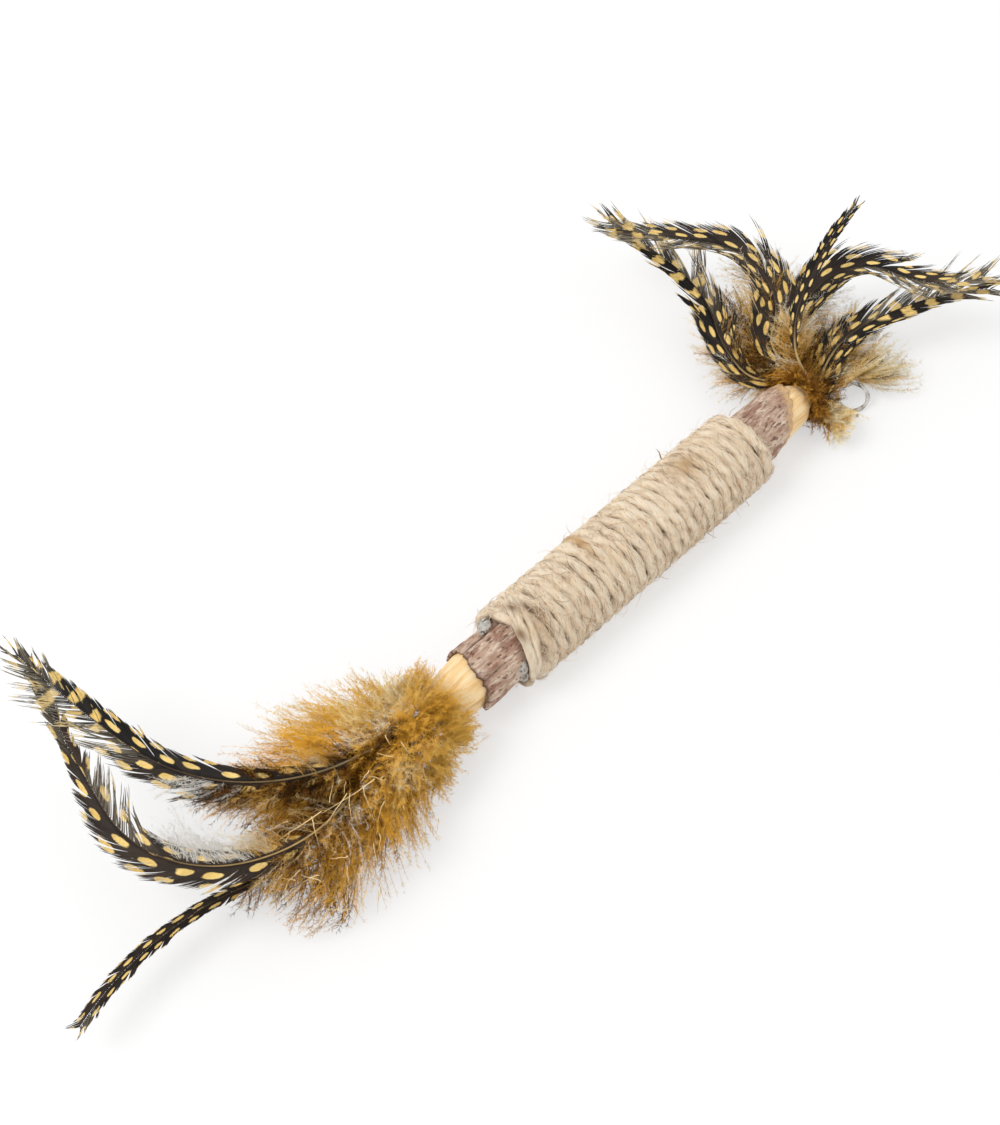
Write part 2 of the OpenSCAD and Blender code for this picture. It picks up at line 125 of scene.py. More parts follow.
# Width of a vane from its lowest barb to its tip
FULL = ((0, 0.5), (0.1, 0.85), (0.25, 1.02), (0.5, 1), (0.7, 0.85), (0.86, 0.62), (1, 0.35))
BROAD = ((0, 0.6), (0.12, 1.15), (0.3, 1.65), (0.5, 1.4), (0.7, 1.1), (0.86, 0.8), (1, 0.5))
OUTER = ((0, 0.8), (0.12, 1.1), (0.3, 1.25), (0.5, 1.2), (0.7, 1.05), (0.86, 0.85), (1, 0.55))
TWISTED = ((0, 0.5), (0.1, 0.9), (0.25, 1.1), (0.42, 1), (0.6, 0.6), (0.72, 0.36), (0.9, 0.32), (1, 0.2))
SLIM = ((0, 0.5), (0.15, 0.75), (0.5, 0.85), (0.8, 0.75), (1, 0.4))

# Distance between the bars near a feather's tip
BAR_SPACING = 6.4

# What shows of each feather: its spots' spacing along the shaft and along the barbs, its camber and its
# width, how pale its quill and how brown its ground is, where it is barred, where each side's barbs come
# apart as (side, from, to, share), and its down as (side or 0 for both, span, count, lengths at the span's
# ends, tones at its ends)
FEATHER_LOOKS = {
    "upper_left": {
        "cell": (6.8, 5.4), "camber": -0.5, "width": FULL, "early": 0.12, "quill": 0.3, "brown": 0.1,
        "bars": (0.66, 0.84), "loose": ((1, 0.5, 0.95, 0.7), (-1, 0.8, 1, 0.5)),
        "fluff": ((1, (0.24, 0.5), 200, (9, 9), (0.02, 0.0)), (-1, (0.1, 0.44), 120, (8, 6), (0.35, 0.1)),
                  (1, (0.45, 0.58), 40, (8, 8), (0.9, 1.0)))},
    "lower_left": {
        "cell": (6.8, 5.4), "camber": -0.5, "width": TWISTED, "quill": 0.7, "brown": 0.75,
        "bars": None, "loose": ((-1, 0.35, 0.62, 0.7), (1, 0.7, 1, 0.4)),
        "fluff": ((-1, (0.37, 0.55), 150, (10, 12), (0.7, 1.1)),
                  (-1, (0.18, 0.38), 60, (10, 10), (0.1, 0.34)),
                  (1, (0.12, 0.42), 140, (9, 9), (0.22, 0.34)), (0, (0.06, 0.3), 12, (9, 12), (0.85, 0.85)))},
    "narrow_left": {
        "cell": (4.6, 2.6), "camber": 0.5, "width": SLIM, "brown": 0.3,
        "bars": None, "loose": ((1, 0.85, 1, 0.4),),
        "fluff": ((0, (0.1, 0.56), 150, (11, 8), (0.22, 0.36)),)},
    "outer_back": {
        "cell": (6, 4.2), "camber": 0.4, "early": 0.2, "width": OUTER, "brown": 0.12,
        "bars": (0.48, 0.98), "loose": ((-1, 0.4, 0.85, 0.7), (1, 0.75, 1, 0.6)),
        "fluff": ((0, (0.0, 0.34), 165, (8, 9), (0.0, 0.55)), (-1, (0.08, 0.52), 90, (14, 12), (0.1, 0.4)))},
    "inner_back": {
        "cell": (6, 4.2), "camber": 0.4, "early": 0.2, "width": BROAD, "brown": 0.6,
        "bars": (0.82, 0.98), "loose": ((1, 0.5, 0.9, 0.7), (-1, 0.8, 1, 0.6)),
        "fluff": ((0, (0.0, 0.5), 215, (8, 11), (-0.25, 0.75)),)},
    "narrow_right": {
        "cell": (3.8, 2.6), "camber": 0.3, "width": SLIM, "brown": 0.2,
        "bars": None, "loose": ((1, 0.85, 1, 0.5),),
        "fluff": ((0, (0.02, 0.35), 110, (9, 6), (0.1, 0.6)),)},
    "inner_front": {
        "cell": (6, 4.2), "camber": 0.4, "early": 0.18, "width": BROAD, "brown": 0.5,
        "bars": (0.84, 0.98), "loose": ((-1, 0.5, 0.95, 0.7), (1, 0.8, 1, 0.6)),
        "fluff": ((0, (0.0, 0.4), 195, (8, 11), (-0.25, 0.9)),)},
    "outer_front": {
        "cell": (6, 4.2), "camber": 0.4, "early": 0.2, "width": OUTER, "brown": 0.12,
        "bars": (0.5, 0.98), "loose": ((1, 0.42, 0.85, 0.7), (-1, 0.75, 1, 0.6)),
        "fluff": ((0, (0.0, 0.34), 165, (8, 9), (0.0, 0.6)), (1, (0.04, 0.42), 130, (13, 12), (0.2, 0.6)))},
}

# The left tuft: its width and height along its length, and each plume's range of angles and count of locks
TUFT_WIDTH = ((0, 0.42), (0.06, 0.58), (0.2, 0.74), (0.4, 0.92), (0.6, 1), (0.8, 0.98), (1, 0.62))
TUFT_RISE = ((0, 0.6), (0.15, 0.76), (0.35, 0.95), (0.55, 1), (0.75, 0.92), (0.9, 0.74), (1, 0.5))
LEFT_PLUMES = {"top_left_plume": ((85, 122), 60), "front_left_plume": ((122, 200), 95),
               "under_front_left_plume": ((200, 270), 30), "under_back_left_plume": ((270, 340), 30),
               "back_left_plume": ((340, 445), 95)}
# The bare quills in the tuft's parting: from and to as (share of the length, angle), and both ends' heights
TUFT_QUILLS = (((0.47, 124), (0.7, 115), 0.95, 1.03), ((0.68, 116), (0.92, 109), 1.03, 1.02),
               ((0.64, 116), (0.55, 99), 1.02, 0.98), ((0.57, 120), (0.63, 136), 1.0, 1.03),
               ((0.72, 114), (0.78, 138), 1.03, 1.02), ((0.58, 119), (0.72, 128), 1.0, 1.04),
               ((0.52, 122), (0.56, 140), 0.97, 1.02), ((0.8, 112), (0.9, 126), 1.02, 1.0))
# Right plumes: root across the plug, yaw, shares of their length, width and height, tone, count of locks
RIGHT_PLUMES = {"back_right_plume": ((0.2, 1.33, 1.5), 67, (1.35, 1.8, 0.8), 0.62, 52),
                "middle_right_plume": ((0, 0.34, 1.3), 22, (1.05, 1.0, 1), 0.08, 38),
                "front_right_plume": ((-0.18, -0.48, 1.3), -4, (1.15, 1.8, 1), 0.78, 70),
                "low_right_plume": ((0.33, -1.33, 1.3), -78, (0.34, 0.8, 0.8), 0.8, 22)}
# How far a barb's tip lies past its root, by the tip's share of the length
TUFT_SWEEP = ((0, -0.1), (0.12, -0.03), (0.3, 0.05), (0.6, 0.1), (1, 0.2))
PLUME_SWEEP = ((0, 0.1), (0.4, 0.22), (1, 0.3))
# Barbs that lap back over the wood or fill the tuft's middle: count, angles, places of their roots and of
# their ends as (x, radius) ranges, and the range of their tones
TUFT_COLLAR = (140, (-20, 210), ((-67, -65), (3, 5)), ((-65, -59), (7.5, 11)), 0.3, 0.6)
# The barbs that fill the tuft's middle get dark tones as painted shade deep inside the down
INNER_COLLAR = (60, (0, 360), ((-100, -66), (0.5, 4)), ((-112, -74), (3, 8)), 0.05, 0.3)
RIGHT_COLLAR = (180, (-40, 220), ((57, 59), (2, 4)), ((52.5, 60), (6.3, 9.5)), 0.0, 0.32)
# The width of a right plume along its length
PLUME_SWELL = ((0, 0.3), (0.2, 0.6), (0.6, 1), (0.85, 0.95), (1, 0.7))

# Colours of the down by its tone
GOLDEN_STOPS = ((0.0, "#3c2309"), (0.2, "#a06c24"), (0.42, "#fbbc48"), (0.7, "#ffd070"), (1.0, "#fff6e2"))
OLIVE_STOPS = ((0.0, "#2e1c0a"), (0.2, "#8c5a20"), (0.45, "#f0b24c"), (0.7, "#fdd98a"), (1.0, "#fff0c8"))

# Half widths of the down's barbs and barbules, and the points along a loose barb and a barb of the vane
BARB, BARBULE = 0.045, 0.036
BARB_POINTS, VANE_POINTS = 7, 9
LOCK_BARBS = 10
# How far a quill reaches into its socket, and a length to either side of a feather's hinge
GRIP_LEN, BLEND_LEN = 9, 6

# The ring in the thread of glue, and the way in which the camera looks at it
RING_MIDDLE, RING_RADIUS = np.array([70.9, -6.3, 2.7]), 3.4
CAMERA_WAY = np.array([0.409, 0.402, -0.819])

# Where the bark's left end lies, by the angle round the twig
BARK_LEFT_END = ((0, -54), (40, -53.2), (71, -53.7), (93, -54.4), (129, -54.6), (149, -55.2), (172, -56),
                 (186, -56.4), (215, -55), (280, -54), (360, -54))
# The outside of the bark and of the bare wood along the twig
BARK_PROFILE = ((BARK_LOW[0], 7.4), (-45.4, 7.1), (38, 7.1), (48.6, 6.6), (53.4, 6.5))
WOOD_PROFILE = ((WOOD_LOW[0], 5.2), (BARK_LOW[0], 6.55), (-45.4, 6.25), (38, 6.25), (48.6, 5.75),
                (WOOD_HIGH[0], 5.2))

# Laps that cross the winding's left end: turn ahead, slip along the twig, rise, share of the width
LAPS = ((0, 0, 0.9, 0.62), (13, 0.9, 1.2, 0.5), (-12, -0.7, 1.0, 0.45), (4, 2.2, 0.7, 0.4))
LAP_PATH = ((0, -35.5), (0.15, -37.4), (0.45, -41), (0.8, -43.2), (1, -43.6))
# Hollow places among the laps, painted dark as shade: place along the twig and angle
HOLLOWS = ((-38.8, 77), (-35.2, 106), (-42.4, 112), (-36.6, 90), (-40, 150))
TWINE_VALUES = ("run", "round_y", "round_z", "depth", "stain")

# The dark stub on the winding: place along the twig, radius, angle, half width
STUB = ((17.3, 8.6, 27, 0.28), (17.5, 10.2, 26, 0.24), (18.2, 11.4, 25, 0.16), (18.4, 12.9, 23, 0.05))

# Dabs of glue: the seed of their crinkles, and lumps as (x, angle, half length, half width, thickness)
DABS = {"upper_glue_dab": (80, (-44.5, 46, 1.8, 1.6, 1.0), (-43.7, 33, 1.5, 1.7, 1.3),
                           (-46.2, 56, 1.1, 0.9, 0.6)),
        "lower_glue_dab": (90, (-44.6, 166, 1.3, 1.8, 0.9), (-44.4, 184, 1.4, 1.8, 1.0),
                           (-44.2, 200, 1.2, 1.4, 0.9))}


# Numbers

def unit(v):
    """Vectors scaled to a length of one."""
    return v / np.maximum(np.linalg.norm(v, axis=-1, keepdims=True), 1e-9)


def lookup(table, x):
    """A value at x from a table of (x, value), straight between its rows."""
    table = np.array(table, float)
    return np.interp(x, table[:, 0], table[:, 1])


def smooth(x, low, high):
    """A soft step from 0 at low to 1 at high."""
    t = np.clip((x - low) / (high - low), 0, 1)
    return t * t * (3 - 2 * t)


def hump(x, middle, width):
    """A soft hump of height 1 round a middle."""
    return np.exp(-((x - middle) / width) ** 2)


def waves(seed, *coordinates, count=5):
    """Smooth noise between about -1 and 1, from a few sine waves in each coordinate."""
    rng = np.random.default_rng(seed)
    total = 0
    for _ in range(count):
        phase = rng.uniform(0, 2 * math.pi)
        direction = rng.normal(size=len(coordinates))
        total = total + np.sin(phase + sum(c * d for c, d in zip(coordinates, direction)))
    return total / count ** 0.5


# Meshes

def deselect_all():
    """Leaves edit mode and clears the selection."""
    if bpy.context.object and bpy.context.object.mode != "OBJECT":
        bpy.ops.object.mode_set(mode="OBJECT")
    bpy.ops.object.select_all(action="DESELECT")


def build_mesh(name, points, triangles, uv=None, **attributes):
    """A mesh object from points in millimetres, triangles as rows of three, and a uv and values per point."""
    mesh = bpy.data.meshes.new(name)
    mesh.vertices.add(len(points))
    mesh.vertices.foreach_set("co", (np.asarray(points, float) * MM).astype(np.float32).ravel())
    corners = np.asarray(triangles, np.int32).ravel()
    mesh.loops.add(len(corners))
    mesh.loops.foreach_set("vertex_index", corners)
    mesh.polygons.add(len(corners) // 3)
    mesh.polygons.foreach_set("loop_start", np.arange(0, len(corners), 3, dtype=np.int32))
    mesh.update(calc_edges=True)
    if uv is not None:
        layer = mesh.uv_layers.new(name="Run")
        layer.data.foreach_set("uv", np.asarray(uv, np.float32)[corners].ravel())
    for key, values in attributes.items():
        mesh.attributes.new(key, "FLOAT", "POINT").data.foreach_set("value", np.asarray(values, np.float32))
    mesh.shade_smooth()
    piece = bpy.data.objects.new(name, mesh)
    bpy.context.scene.collection.objects.link(piece)
    return piece


def closed_grid(rings, columns):
    """Triangles of a grid that closes round, as rows of three."""
    i, j = np.meshgrid(np.arange(rings - 1), np.arange(columns), indexing="ij")
    p, q = (i * columns + j).ravel(), (i * columns + (j + 1) % columns).ravel()
    return np.concatenate([np.stack([p, q, q + columns], 1), np.stack([p, q + columns, p + columns], 1)])


def bridge(first, second, columns):
    """Triangles between two closed rings, given by the numbers of their first points."""
    j = np.arange(columns)
    n = (j + 1) % columns
    return np.concatenate([np.stack([first + j, second + j, second + n], 1),
                           np.stack([first + j, second + n, first + n], 1)])


class Strands:
    """Gathers closed, tapered strands and tubes, each with its uv and its attributes, into one mesh."""

    def __init__(self, *attributes):
        self.keys = attributes
        self.points, self.faces, self.uvs = [], [], []
        self.values = {k: [] for k in attributes}
        self.count = 0

    def _gather(self, points, faces, uv, values):
        self.points.append(points)
        self.faces.append(faces + self.count)
        self.uvs.append(uv)
        for k in self.keys:
            self.values[k].append(values[k])
        self.count += len(points)

    def add(self, lines, half, up=(0.31, 0.57, 0.76), flat=1.0, uv=None, **values):
        """Strands of three sides that end in a point: lines (N, K, 3), half widths and values (N, K)."""
        n, k = half.shape
        along = unit(np.gradient(lines, axis=1))
        side = unit(np.cross(np.broadcast_to(up, lines.shape), along))
        normal = np.cross(along, side)
        turn = np.radians([90, 210, 330])[:, None]
        ring = lines[:, :-1, None] + half[:, :-1, None, None] * (
            np.cos(turn) * side[:, :-1, None] + flat * np.sin(turn) * normal[:, :-1, None])
        points = np.concatenate([ring.reshape(n, -1, 3), lines[:, -1:]], axis=1)
        one = [(2, 1, 0)]
        for i in range(k - 2):
            for j in range(3):
                a, b = 3 * i + j, 3 * i + (j + 1) % 3
                one += [(a, b, b + 3), (a, b + 3, a + 3)]
        last, tip = 3 * (k - 2), 3 * (k - 1)
        one += [(last + j, last + (j + 1) % 3, tip) for j in range(3)]
        faces = (np.array(one)[None] + (tip + 1) * np.arange(n)[:, None, None]).reshape(-1, 3)

        def spread(v):
            v = np.broadcast_to(v, (n, k))
            return np.concatenate([np.repeat(v[:, :-1], 3, axis=1), v[:, -1:]], axis=1).ravel()

        uv = np.zeros((n, k, 2)) if uv is None else uv
        self._gather(points.reshape(-1, 3), faces, np.stack([spread(uv[..., 0]), spread(uv[..., 1])], axis=1),
                     {key: spread(values.get(key, 0)) for key in self.keys})

    def tube(self, line, radii, up, sides=10, lobes=None, **values):
        """One closed tube along a line (K, 3); lobes (K, sides) scales its radius round each ring."""
        k = len(line)
        along = unit(np.gradient(line, axis=0))
        side = unit(np.cross(np.broadcast_to(up, line.shape), along))
        normal = np.cross(along, side)
        a = np.linspace(0, 2 * math.pi, sides, endpoint=False)
        r = np.broadcast_to(np.asarray(radii, float).reshape(-1, 1), (k, sides))
        r = r * (1 if lobes is None else lobes)
        ring = line[:, None] + r[..., None] * (
            np.cos(a)[None, :, None] * side[:, None] + np.sin(a)[None, :, None] * normal[:, None])
        points = np.concatenate([ring.reshape(-1, 3), line[:1], line[-1:]])
        j = np.arange(sides)
        n = (j + 1) % sides
        end = (k - 1) * sides
        first = np.stack([n, j, np.full(sides, k * sides)], 1)
        last = np.stack([end + j, end + n, np.full(sides, k * sides + 1)], 1)

        def spread(v):
            v = np.asarray(v, float)
            v = np.broadcast_to(v[:, None] if v.ndim == 1 else v, (k, sides))
            return np.concatenate([v.ravel(), [v[0].mean(), v[-1].mean()]])

        self._gather(points, np.concatenate([closed_grid(k, sides), first, last]), np.zeros((len(points), 2)),
                     {key: spread(values.get(key, 0)) for key in self.keys})

    def piece(self, name, floor=0.05):
        """The mesh object of all that was gathered, kept above the table."""
        points = np.concatenate(self.points)
        points[:, 2] = np.maximum(points[:, 2], floor)
        return build_mesh(name, points, np.concatenate(self.faces), np.concatenate(self.uvs),
                          **{k: np.concatenate(v) for k, v in self.values.items()})


def dress(piece, material):
    """Gives a piece one material."""
    piece.data.materials.clear()
    piece.data.materials.append(material)


def finish_piece(piece, material, body, slot, *replaced):
    """Gives a piece its material and its body, and hides the nodes that it stands for; the slot is not used.
    """
    dress(piece, material)
    if body:
        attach(piece, body)
    if replaced:
        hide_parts(*replaced)


# Materials

def linear(hex_colour):
    """A colour as the shaders mix it, from its screen value."""
    channels = [int(hex_colour[i:i + 2], 16) / 255 for i in (1, 3, 5)]
    return tuple(c / 12.92 if c <= 0.04045 else ((c + 0.055) / 1.055) ** 2.4 for c in channels) + (1,)


def connect(tree, value, socket):
    """Links a socket to another one or sets its value, where text is a screen colour."""
    if isinstance(value, bpy.types.NodeSocket):
        tree.links.new(value, socket)
    else:
        socket.default_value = linear(value) if isinstance(value, str) else value


def node(tree, kind, inputs=None, **settings):
    """A node with its settings, and with its inputs set or linked."""
    new = tree.nodes.new(kind)
    for key, value in settings.items():
        setattr(new, key, value)
    for key, value in (inputs or {}).items():
        connect(tree, value, new.inputs[key])
    return new


def math_node(tree, operation, a, b=0.5):
    return node(tree, "ShaderNodeMath", {0: a, 1: b}, operation=operation).outputs[0]


def plus(tree, a, b):
    return math_node(tree, "ADD", a, b)


def times(tree, a, b):
    return math_node(tree, "MULTIPLY", a, b)


def remaining(tree, share):
    """What a share leaves of 1."""
    return math_node(tree, "SUBTRACT", 1.0, share)


def centred(tree, value, amount):
    """A value between 0 and 1 as a change to both sides of 0, times an amount."""
    return times(tree, math_node(tree, "SUBTRACT", value, 0.5), amount)


def mix_colour(tree, factor, a, b, blend="MIX"):
    """Two colours mixed by a factor."""
    return node(tree, "ShaderNodeMix", {0: factor, 6: a, 7: b}, data_type="RGBA", blend_type=blend).outputs[2]


def ramp(tree, value, *stops, ease="LINEAR"):
    """A value turned into colours by its stops, each a place with a grey or a screen colour."""
    new = node(tree, "ShaderNodeValToRGB", {0: value})
    new.color_ramp.interpolation = ease
    elements = new.color_ramp.elements
    while len(elements) < len(stops):
        elements.new(0.5)
    for element, (place, colour) in zip(elements, stops):
        if isinstance(colour, str):
            colour = linear(colour)
        element.position = place
        element.color = colour if isinstance(colour, tuple) else (colour, colour, colour, 1)
    return new.outputs[0]


def attribute(tree, name):
    """A value that the mesh carries at its points."""
    return node(tree, "ShaderNodeAttribute", attribute_name=name).outputs["Fac"]


def object_point(tree, scale=(1, 1, 1)):
    """The shaded point in metres, drawn out where a scale is under 1."""
    where = node(tree, "ShaderNodeTexCoord").outputs["Object"]
    return node(tree, "ShaderNodeMapping", {"Vector": where, "Scale": scale}).outputs[0]


def noise(tree, point, scale, detail=4, roughness=0.55, distortion=0):
    """Cloudy noise between 0 and 1."""
    return node(tree, "ShaderNodeTexNoise", {"Vector": point, "Scale": scale, "Detail": detail,
                                             "Roughness": roughness, "Distortion": distortion}).outputs["Fac"]


def new_material(name, **shader):
    """A material with one shader, its node tree and that shader's node."""
    material = bpy.data.materials.new(name)
    material.use_nodes = True
    tree = material.node_tree
    tree.nodes.clear()
    body = node(tree, "ShaderNodeBsdfPrincipled")
    for key, value in shader.items():
        body.inputs[key.replace("_", " ")].default_value = value
    tree.links.new(body.outputs[0], node(tree, "ShaderNodeOutputMaterial").inputs[0])
    return material, tree, body


def paint(tree, body, colour):
    connect(tree, colour, body.inputs["Base Color"])


def bump(tree, body, height, strength, distance):
    """Fine relief from a height."""
    new = node(tree, "ShaderNodeBump", {"Height": height, "Strength": strength, "Distance": distance})
    tree.links.new(new.outputs[0], body.inputs["Normal"])


def strand_shade_group():
    """A node group for fine change of colour from strand to strand."""
    name = "strand_shade"
    if name in bpy.data.node_groups:
        return bpy.data.node_groups[name]
    tree = bpy.data.node_groups.new(name, "ShaderNodeTree")
    tree.interface.new_socket(name="Color", in_out="INPUT", socket_type="NodeSocketColor")
    tree.interface.new_socket(name="Change", in_out="INPUT", socket_type="NodeSocketFloat")
    tree.interface.new_socket(name="Color", in_out="OUTPUT", socket_type="NodeSocketColor")
    start, end = tree.nodes.new("NodeGroupInput"), tree.nodes.new("NodeGroupOutput")
    fine = noise(tree, object_point(tree), 900, detail=2)
    broad = noise(tree, object_point(tree), 140, detail=3)
    both = plus(tree, times(tree, fine, 0.5), times(tree, broad, 0.5))
    change = centred(tree, both, start.outputs["Change"])
    level = plus(tree, 1.0, times(tree, change, 4.0))
    colour = start.outputs["Color"]
    scaled = node(tree, "ShaderNodeVectorMath", {0: colour, "Scale": level}, operation="SCALE")
    tree.links.new(scaled.outputs[0], end.inputs[0])
    return tree


def strand_shade(tree, colour, change):
    """A colour with a fine change from strand to strand."""
    group = node(tree, "ShaderNodeGroup")
    group.node_tree = strand_shade_group()
    connect(tree, colour, group.inputs["Color"])
    connect(tree, change, group.inputs["Change"])
    return group.outputs[0]


def spotted_vane_material():
    """Near black barbs with ochre ovals in slanted rows, bars near some tips, pale loose barbs and down."""
    s = bpy.context.scene.twig_feathers
    material, tree, body = new_material("spotted_barbs", Roughness=0.55)
    uv = node(tree, "ShaderNodeUVMap", uv_map="Run").outputs[0]
    parts = node(tree, "ShaderNodeSeparateXYZ", {0: uv})
    u, v = parts.outputs[0], parts.outputs[1]
    wobble = centred(tree, noise(tree, uv, 1.3, detail=1), 0.35)
    slanted = plus(tree, plus(tree, u, wobble), times(tree, v, 0.4))
    cell = node(tree, "ShaderNodeCombineXYZ", {0: slanted, 1: v}).outputs[0]
    spots = node(tree, "ShaderNodeTexVoronoi", {"Vector": cell, "Scale": 1.0, "Randomness": 0.3},
                 voronoi_dimensions="2D", feature="F1").outputs["Distance"]
    ragged = centred(tree, noise(tree, object_point(tree), 900, detail=2), 0.09)
    spot = ramp(tree, plus(tree, spots, ragged), (0.245, 1.0), (0.3, 0.0), ease="EASE")
    station = times(tree, attribute(tree, "station"), 1 / BAR_SPACING)
    wave = math_node(tree, "FRACT", plus(tree, station, wobble))
    band = ramp(tree, wave, (0.0, 0.0), (0.5, 0.0), (0.58, 1.0), (0.9, 1.0), (0.97, 0.0))
    golden = mix_colour(tree, attribute(tree, "barred"), spot, band)
    gold = mix_colour(tree, noise(tree, uv, 1.7, detail=2), "#e2b145", "#fbe6a2")
    dark = mix_colour(tree, attribute(tree, "tone"), tuple(s.dark), tuple(s.brown))
    on_shaft = math_node(tree, "CEIL", attribute(tree, "shaft"))
    golden = times(tree, golden, remaining(tree, on_shaft))
    colour = mix_colour(tree, golden, dark, gold)
    pale = mix_colour(tree, noise(tree, object_point(tree), 260, detail=2), "#999389", "#f0dfba")
    colour = mix_colour(tree, attribute(tree, "pale"), colour, pale)
    shaft = ramp(tree, attribute(tree, "reach"), (0.0, "#e3cda4"), (0.35, "#dcb877"), (0.6, "#5b4630"),
                 (1.0, "#2e2218"))
    colour = mix_colour(tree, attribute(tree, "shaft"), colour, shaft)
    fluff = ramp(tree, attribute(tree, "tone"), (0.0, "#352310"), (0.2, "#96642a"), (0.42, "#f4be5a"),
                 (0.65, "#f8e4b6"), (0.95, "#fbf8f2"))
    downy = attribute(tree, "fluff")
    colour = mix_colour(tree, downy, colour, fluff)
    gloss = times(tree, remaining(tree, downy), 0.3)
    tree.links.new(gloss, body.inputs["Specular IOR Level"])
    paint(tree, body, strand_shade(tree, colour, 0.25))
    return material


def down_material(name, stops, change):
    """Down whose colour follows its tone, from painted shade deep in the down to tips painted pale as glowing
    light.
    """
    material, tree, body = new_material(name, Roughness=0.9, Specular_IOR_Level=0.0)
    colour = ramp(tree, attribute(tree, "tone"), *stops)
    back = node(tree, "ShaderNodeSeparateXYZ", {0: object_point(tree)}).outputs[1]
    back = ramp(tree, plus(tree, times(tree, back, 20), 0.5), (0.5, 0.0), (0.72, 0.8))
    colour = mix_colour(tree, back, colour, "#fbf0b4", blend="MULTIPLY")
    paint(tree, body, strand_shade(tree, colour, change))
    return material


def jute_material():
    """Jute: cream fibres that run along the ply, in fine light and dark streaks, with painted shade in its
    grooves.
    """
    s = bpy.context.scene.twig_twine
    material, tree, body = new_material("jute_fibre", Roughness=0.85, Sheen_Weight=0.2, Sheen_Roughness=0.4)
    run, y, z = (attribute(tree, key) for key in ("run", "round_y", "round_z"))
    where = node(tree, "ShaderNodeCombineXYZ", {0: times(tree, run, 0.09), 1: y, 2: z}).outputs[0]
    fibres = noise(tree, where, 5.5, detail=5, roughness=0.75)
    strands = noise(tree, where, 2.1, detail=2)
    patches = noise(tree, object_point(tree), 75, detail=3)
    colour = ramp(tree, fibres, (0.33, "#b0865a"), (0.4, "#f2d2aa"), (0.5, tuple(s.jute)),
                  (0.6, "#fff4dd"))
    colour = mix_colour(tree, ramp(tree, strands, (0.55, 0.0), (0.72, 0.5)), colour, "#fff0d8")
    colour = mix_colour(tree, ramp(tree, patches, (0.56, 0.0), (0.78, 0.4)), colour, "#dcb478")
    colour = mix_colour(tree, attribute(tree, "stain"), colour, "#c79a58")
    # Painted shade in the grooves and hollow places; the same value darkens the dark loose fibres and the
    # stub, which are dark of their own
    colour = mix_colour(tree, attribute(tree, "depth"), colour, "#90693f")
    paint(tree, body, colour)
    bump(tree, body, fibres, 1.0, 0.0004)
    return material


def bark_material():
    """Pinkish tan bark, finely streaked along the twig, with reddish brown blotches, specks and cracks."""
    material, tree, body = new_material("flaking_bark", Roughness=0.85)
    streaks = noise(tree, object_point(tree, (0.16, 1, 1)), 1300, detail=5, roughness=0.7, distortion=0.3)
    flakes = noise(tree, object_point(tree, (0.35, 1, 1)), 420, detail=5, roughness=0.75, distortion=0.3)
    blotches = noise(tree, object_point(tree, (0.55, 1, 1)), 210, detail=5, roughness=0.7)
    specks = noise(tree, object_point(tree, (0.4, 1, 1)), 1500, detail=2)
    colour = ramp(tree, streaks, (0.34, "#a58671"), (0.5, "#cbb09a"), (0.62, "#ead6c2"))
    colour = mix_colour(tree, ramp(tree, flakes, (0.42, 0.7), (0.52, 0.0)), colour, "#b58f78")
    colour = mix_colour(tree, ramp(tree, blotches, (0.49, 0.0), (0.58, 0.75)), colour, "#8a5a48")
    colour = mix_colour(tree, ramp(tree, specks, (0.57, 0.0), (0.66, 0.8)), colour, "#5c3a2c")
    colour = mix_colour(tree, attribute(tree, "pared"), colour, "#dcb481")
    colour = mix_colour(tree, attribute(tree, "crack"), colour, "#4d372b")
    paint(tree, body, colour)
    bump(tree, body, plus(tree, streaks, flakes), 0.8, 0.0004)
    return material


def pared_wood_material():
    """Fresh pared wood, with grain along the twig."""
    material, tree, body = new_material("pared_wood", Roughness=0.6)
    grain = noise(tree, object_point(tree, (0.06, 1, 1)), 900, detail=5, roughness=0.6, distortion=0.3)
    broad = noise(tree, object_point(tree, (0.2, 1, 1)), 110, detail=3)
    colour = ramp(tree, grain, (0.3, "#e0b070"), (0.5, "#fbd69c"), (0.7, "#ffecc4"))
    colour = mix_colour(tree, ramp(tree, broad, (0.45, 0.0), (0.75, 0.5)), colour, "#dcae66")
    paint(tree, body, colour)
    bump(tree, body, grain, 0.4, 0.0002)
    return material


def glue_material(name, colour, transmission):
    """Set glue, glossy and crinkled, with painted shade in its creases and painted glints on its crinkles."""
    material, tree, body = new_material(name, Roughness=0.08, IOR=1.48, Transmission_Weight=transmission)
    crinkles_and_painted_glints = noise(tree, object_point(tree), 520, detail=2, distortion=1.2)
    # Painted reflection: the crinkles run from dark grey shade in their creases to near-white glints, as the
    # glossy glue would reflect
    paint(tree, body, ramp(tree, crinkles_and_painted_glints, (0.36, "#7d7468"), (0.46, colour), (0.6, "#f7f4ee")))
    bump(tree, body, crinkles_and_painted_glints, 0.7, 0.0006)
    return material


def pith_material():
    """Soft brown pith, hidden inside the twig."""
    material, tree, body = new_material("soft_pith", Roughness=0.9)
    cells = noise(tree, object_point(tree), 2500, detail=3)
    paint(tree, body, ramp(tree, cells, (0.3, "#8a6237"), (0.7, "#b88a55")))
    bump(tree, body, cells, 0.5, 0.0002)
    return material


# Twig

def twig_point(x, r, a):
    """Points round the pith line, at an angle in degrees from +Y towards +Z."""
    a = np.radians(a)
    x, r, a = np.broadcast_arrays(np.asarray(x, float), r, a)
    return np.stack([x, r * np.cos(a), PITH_Z + r * np.sin(a)], axis=-1)


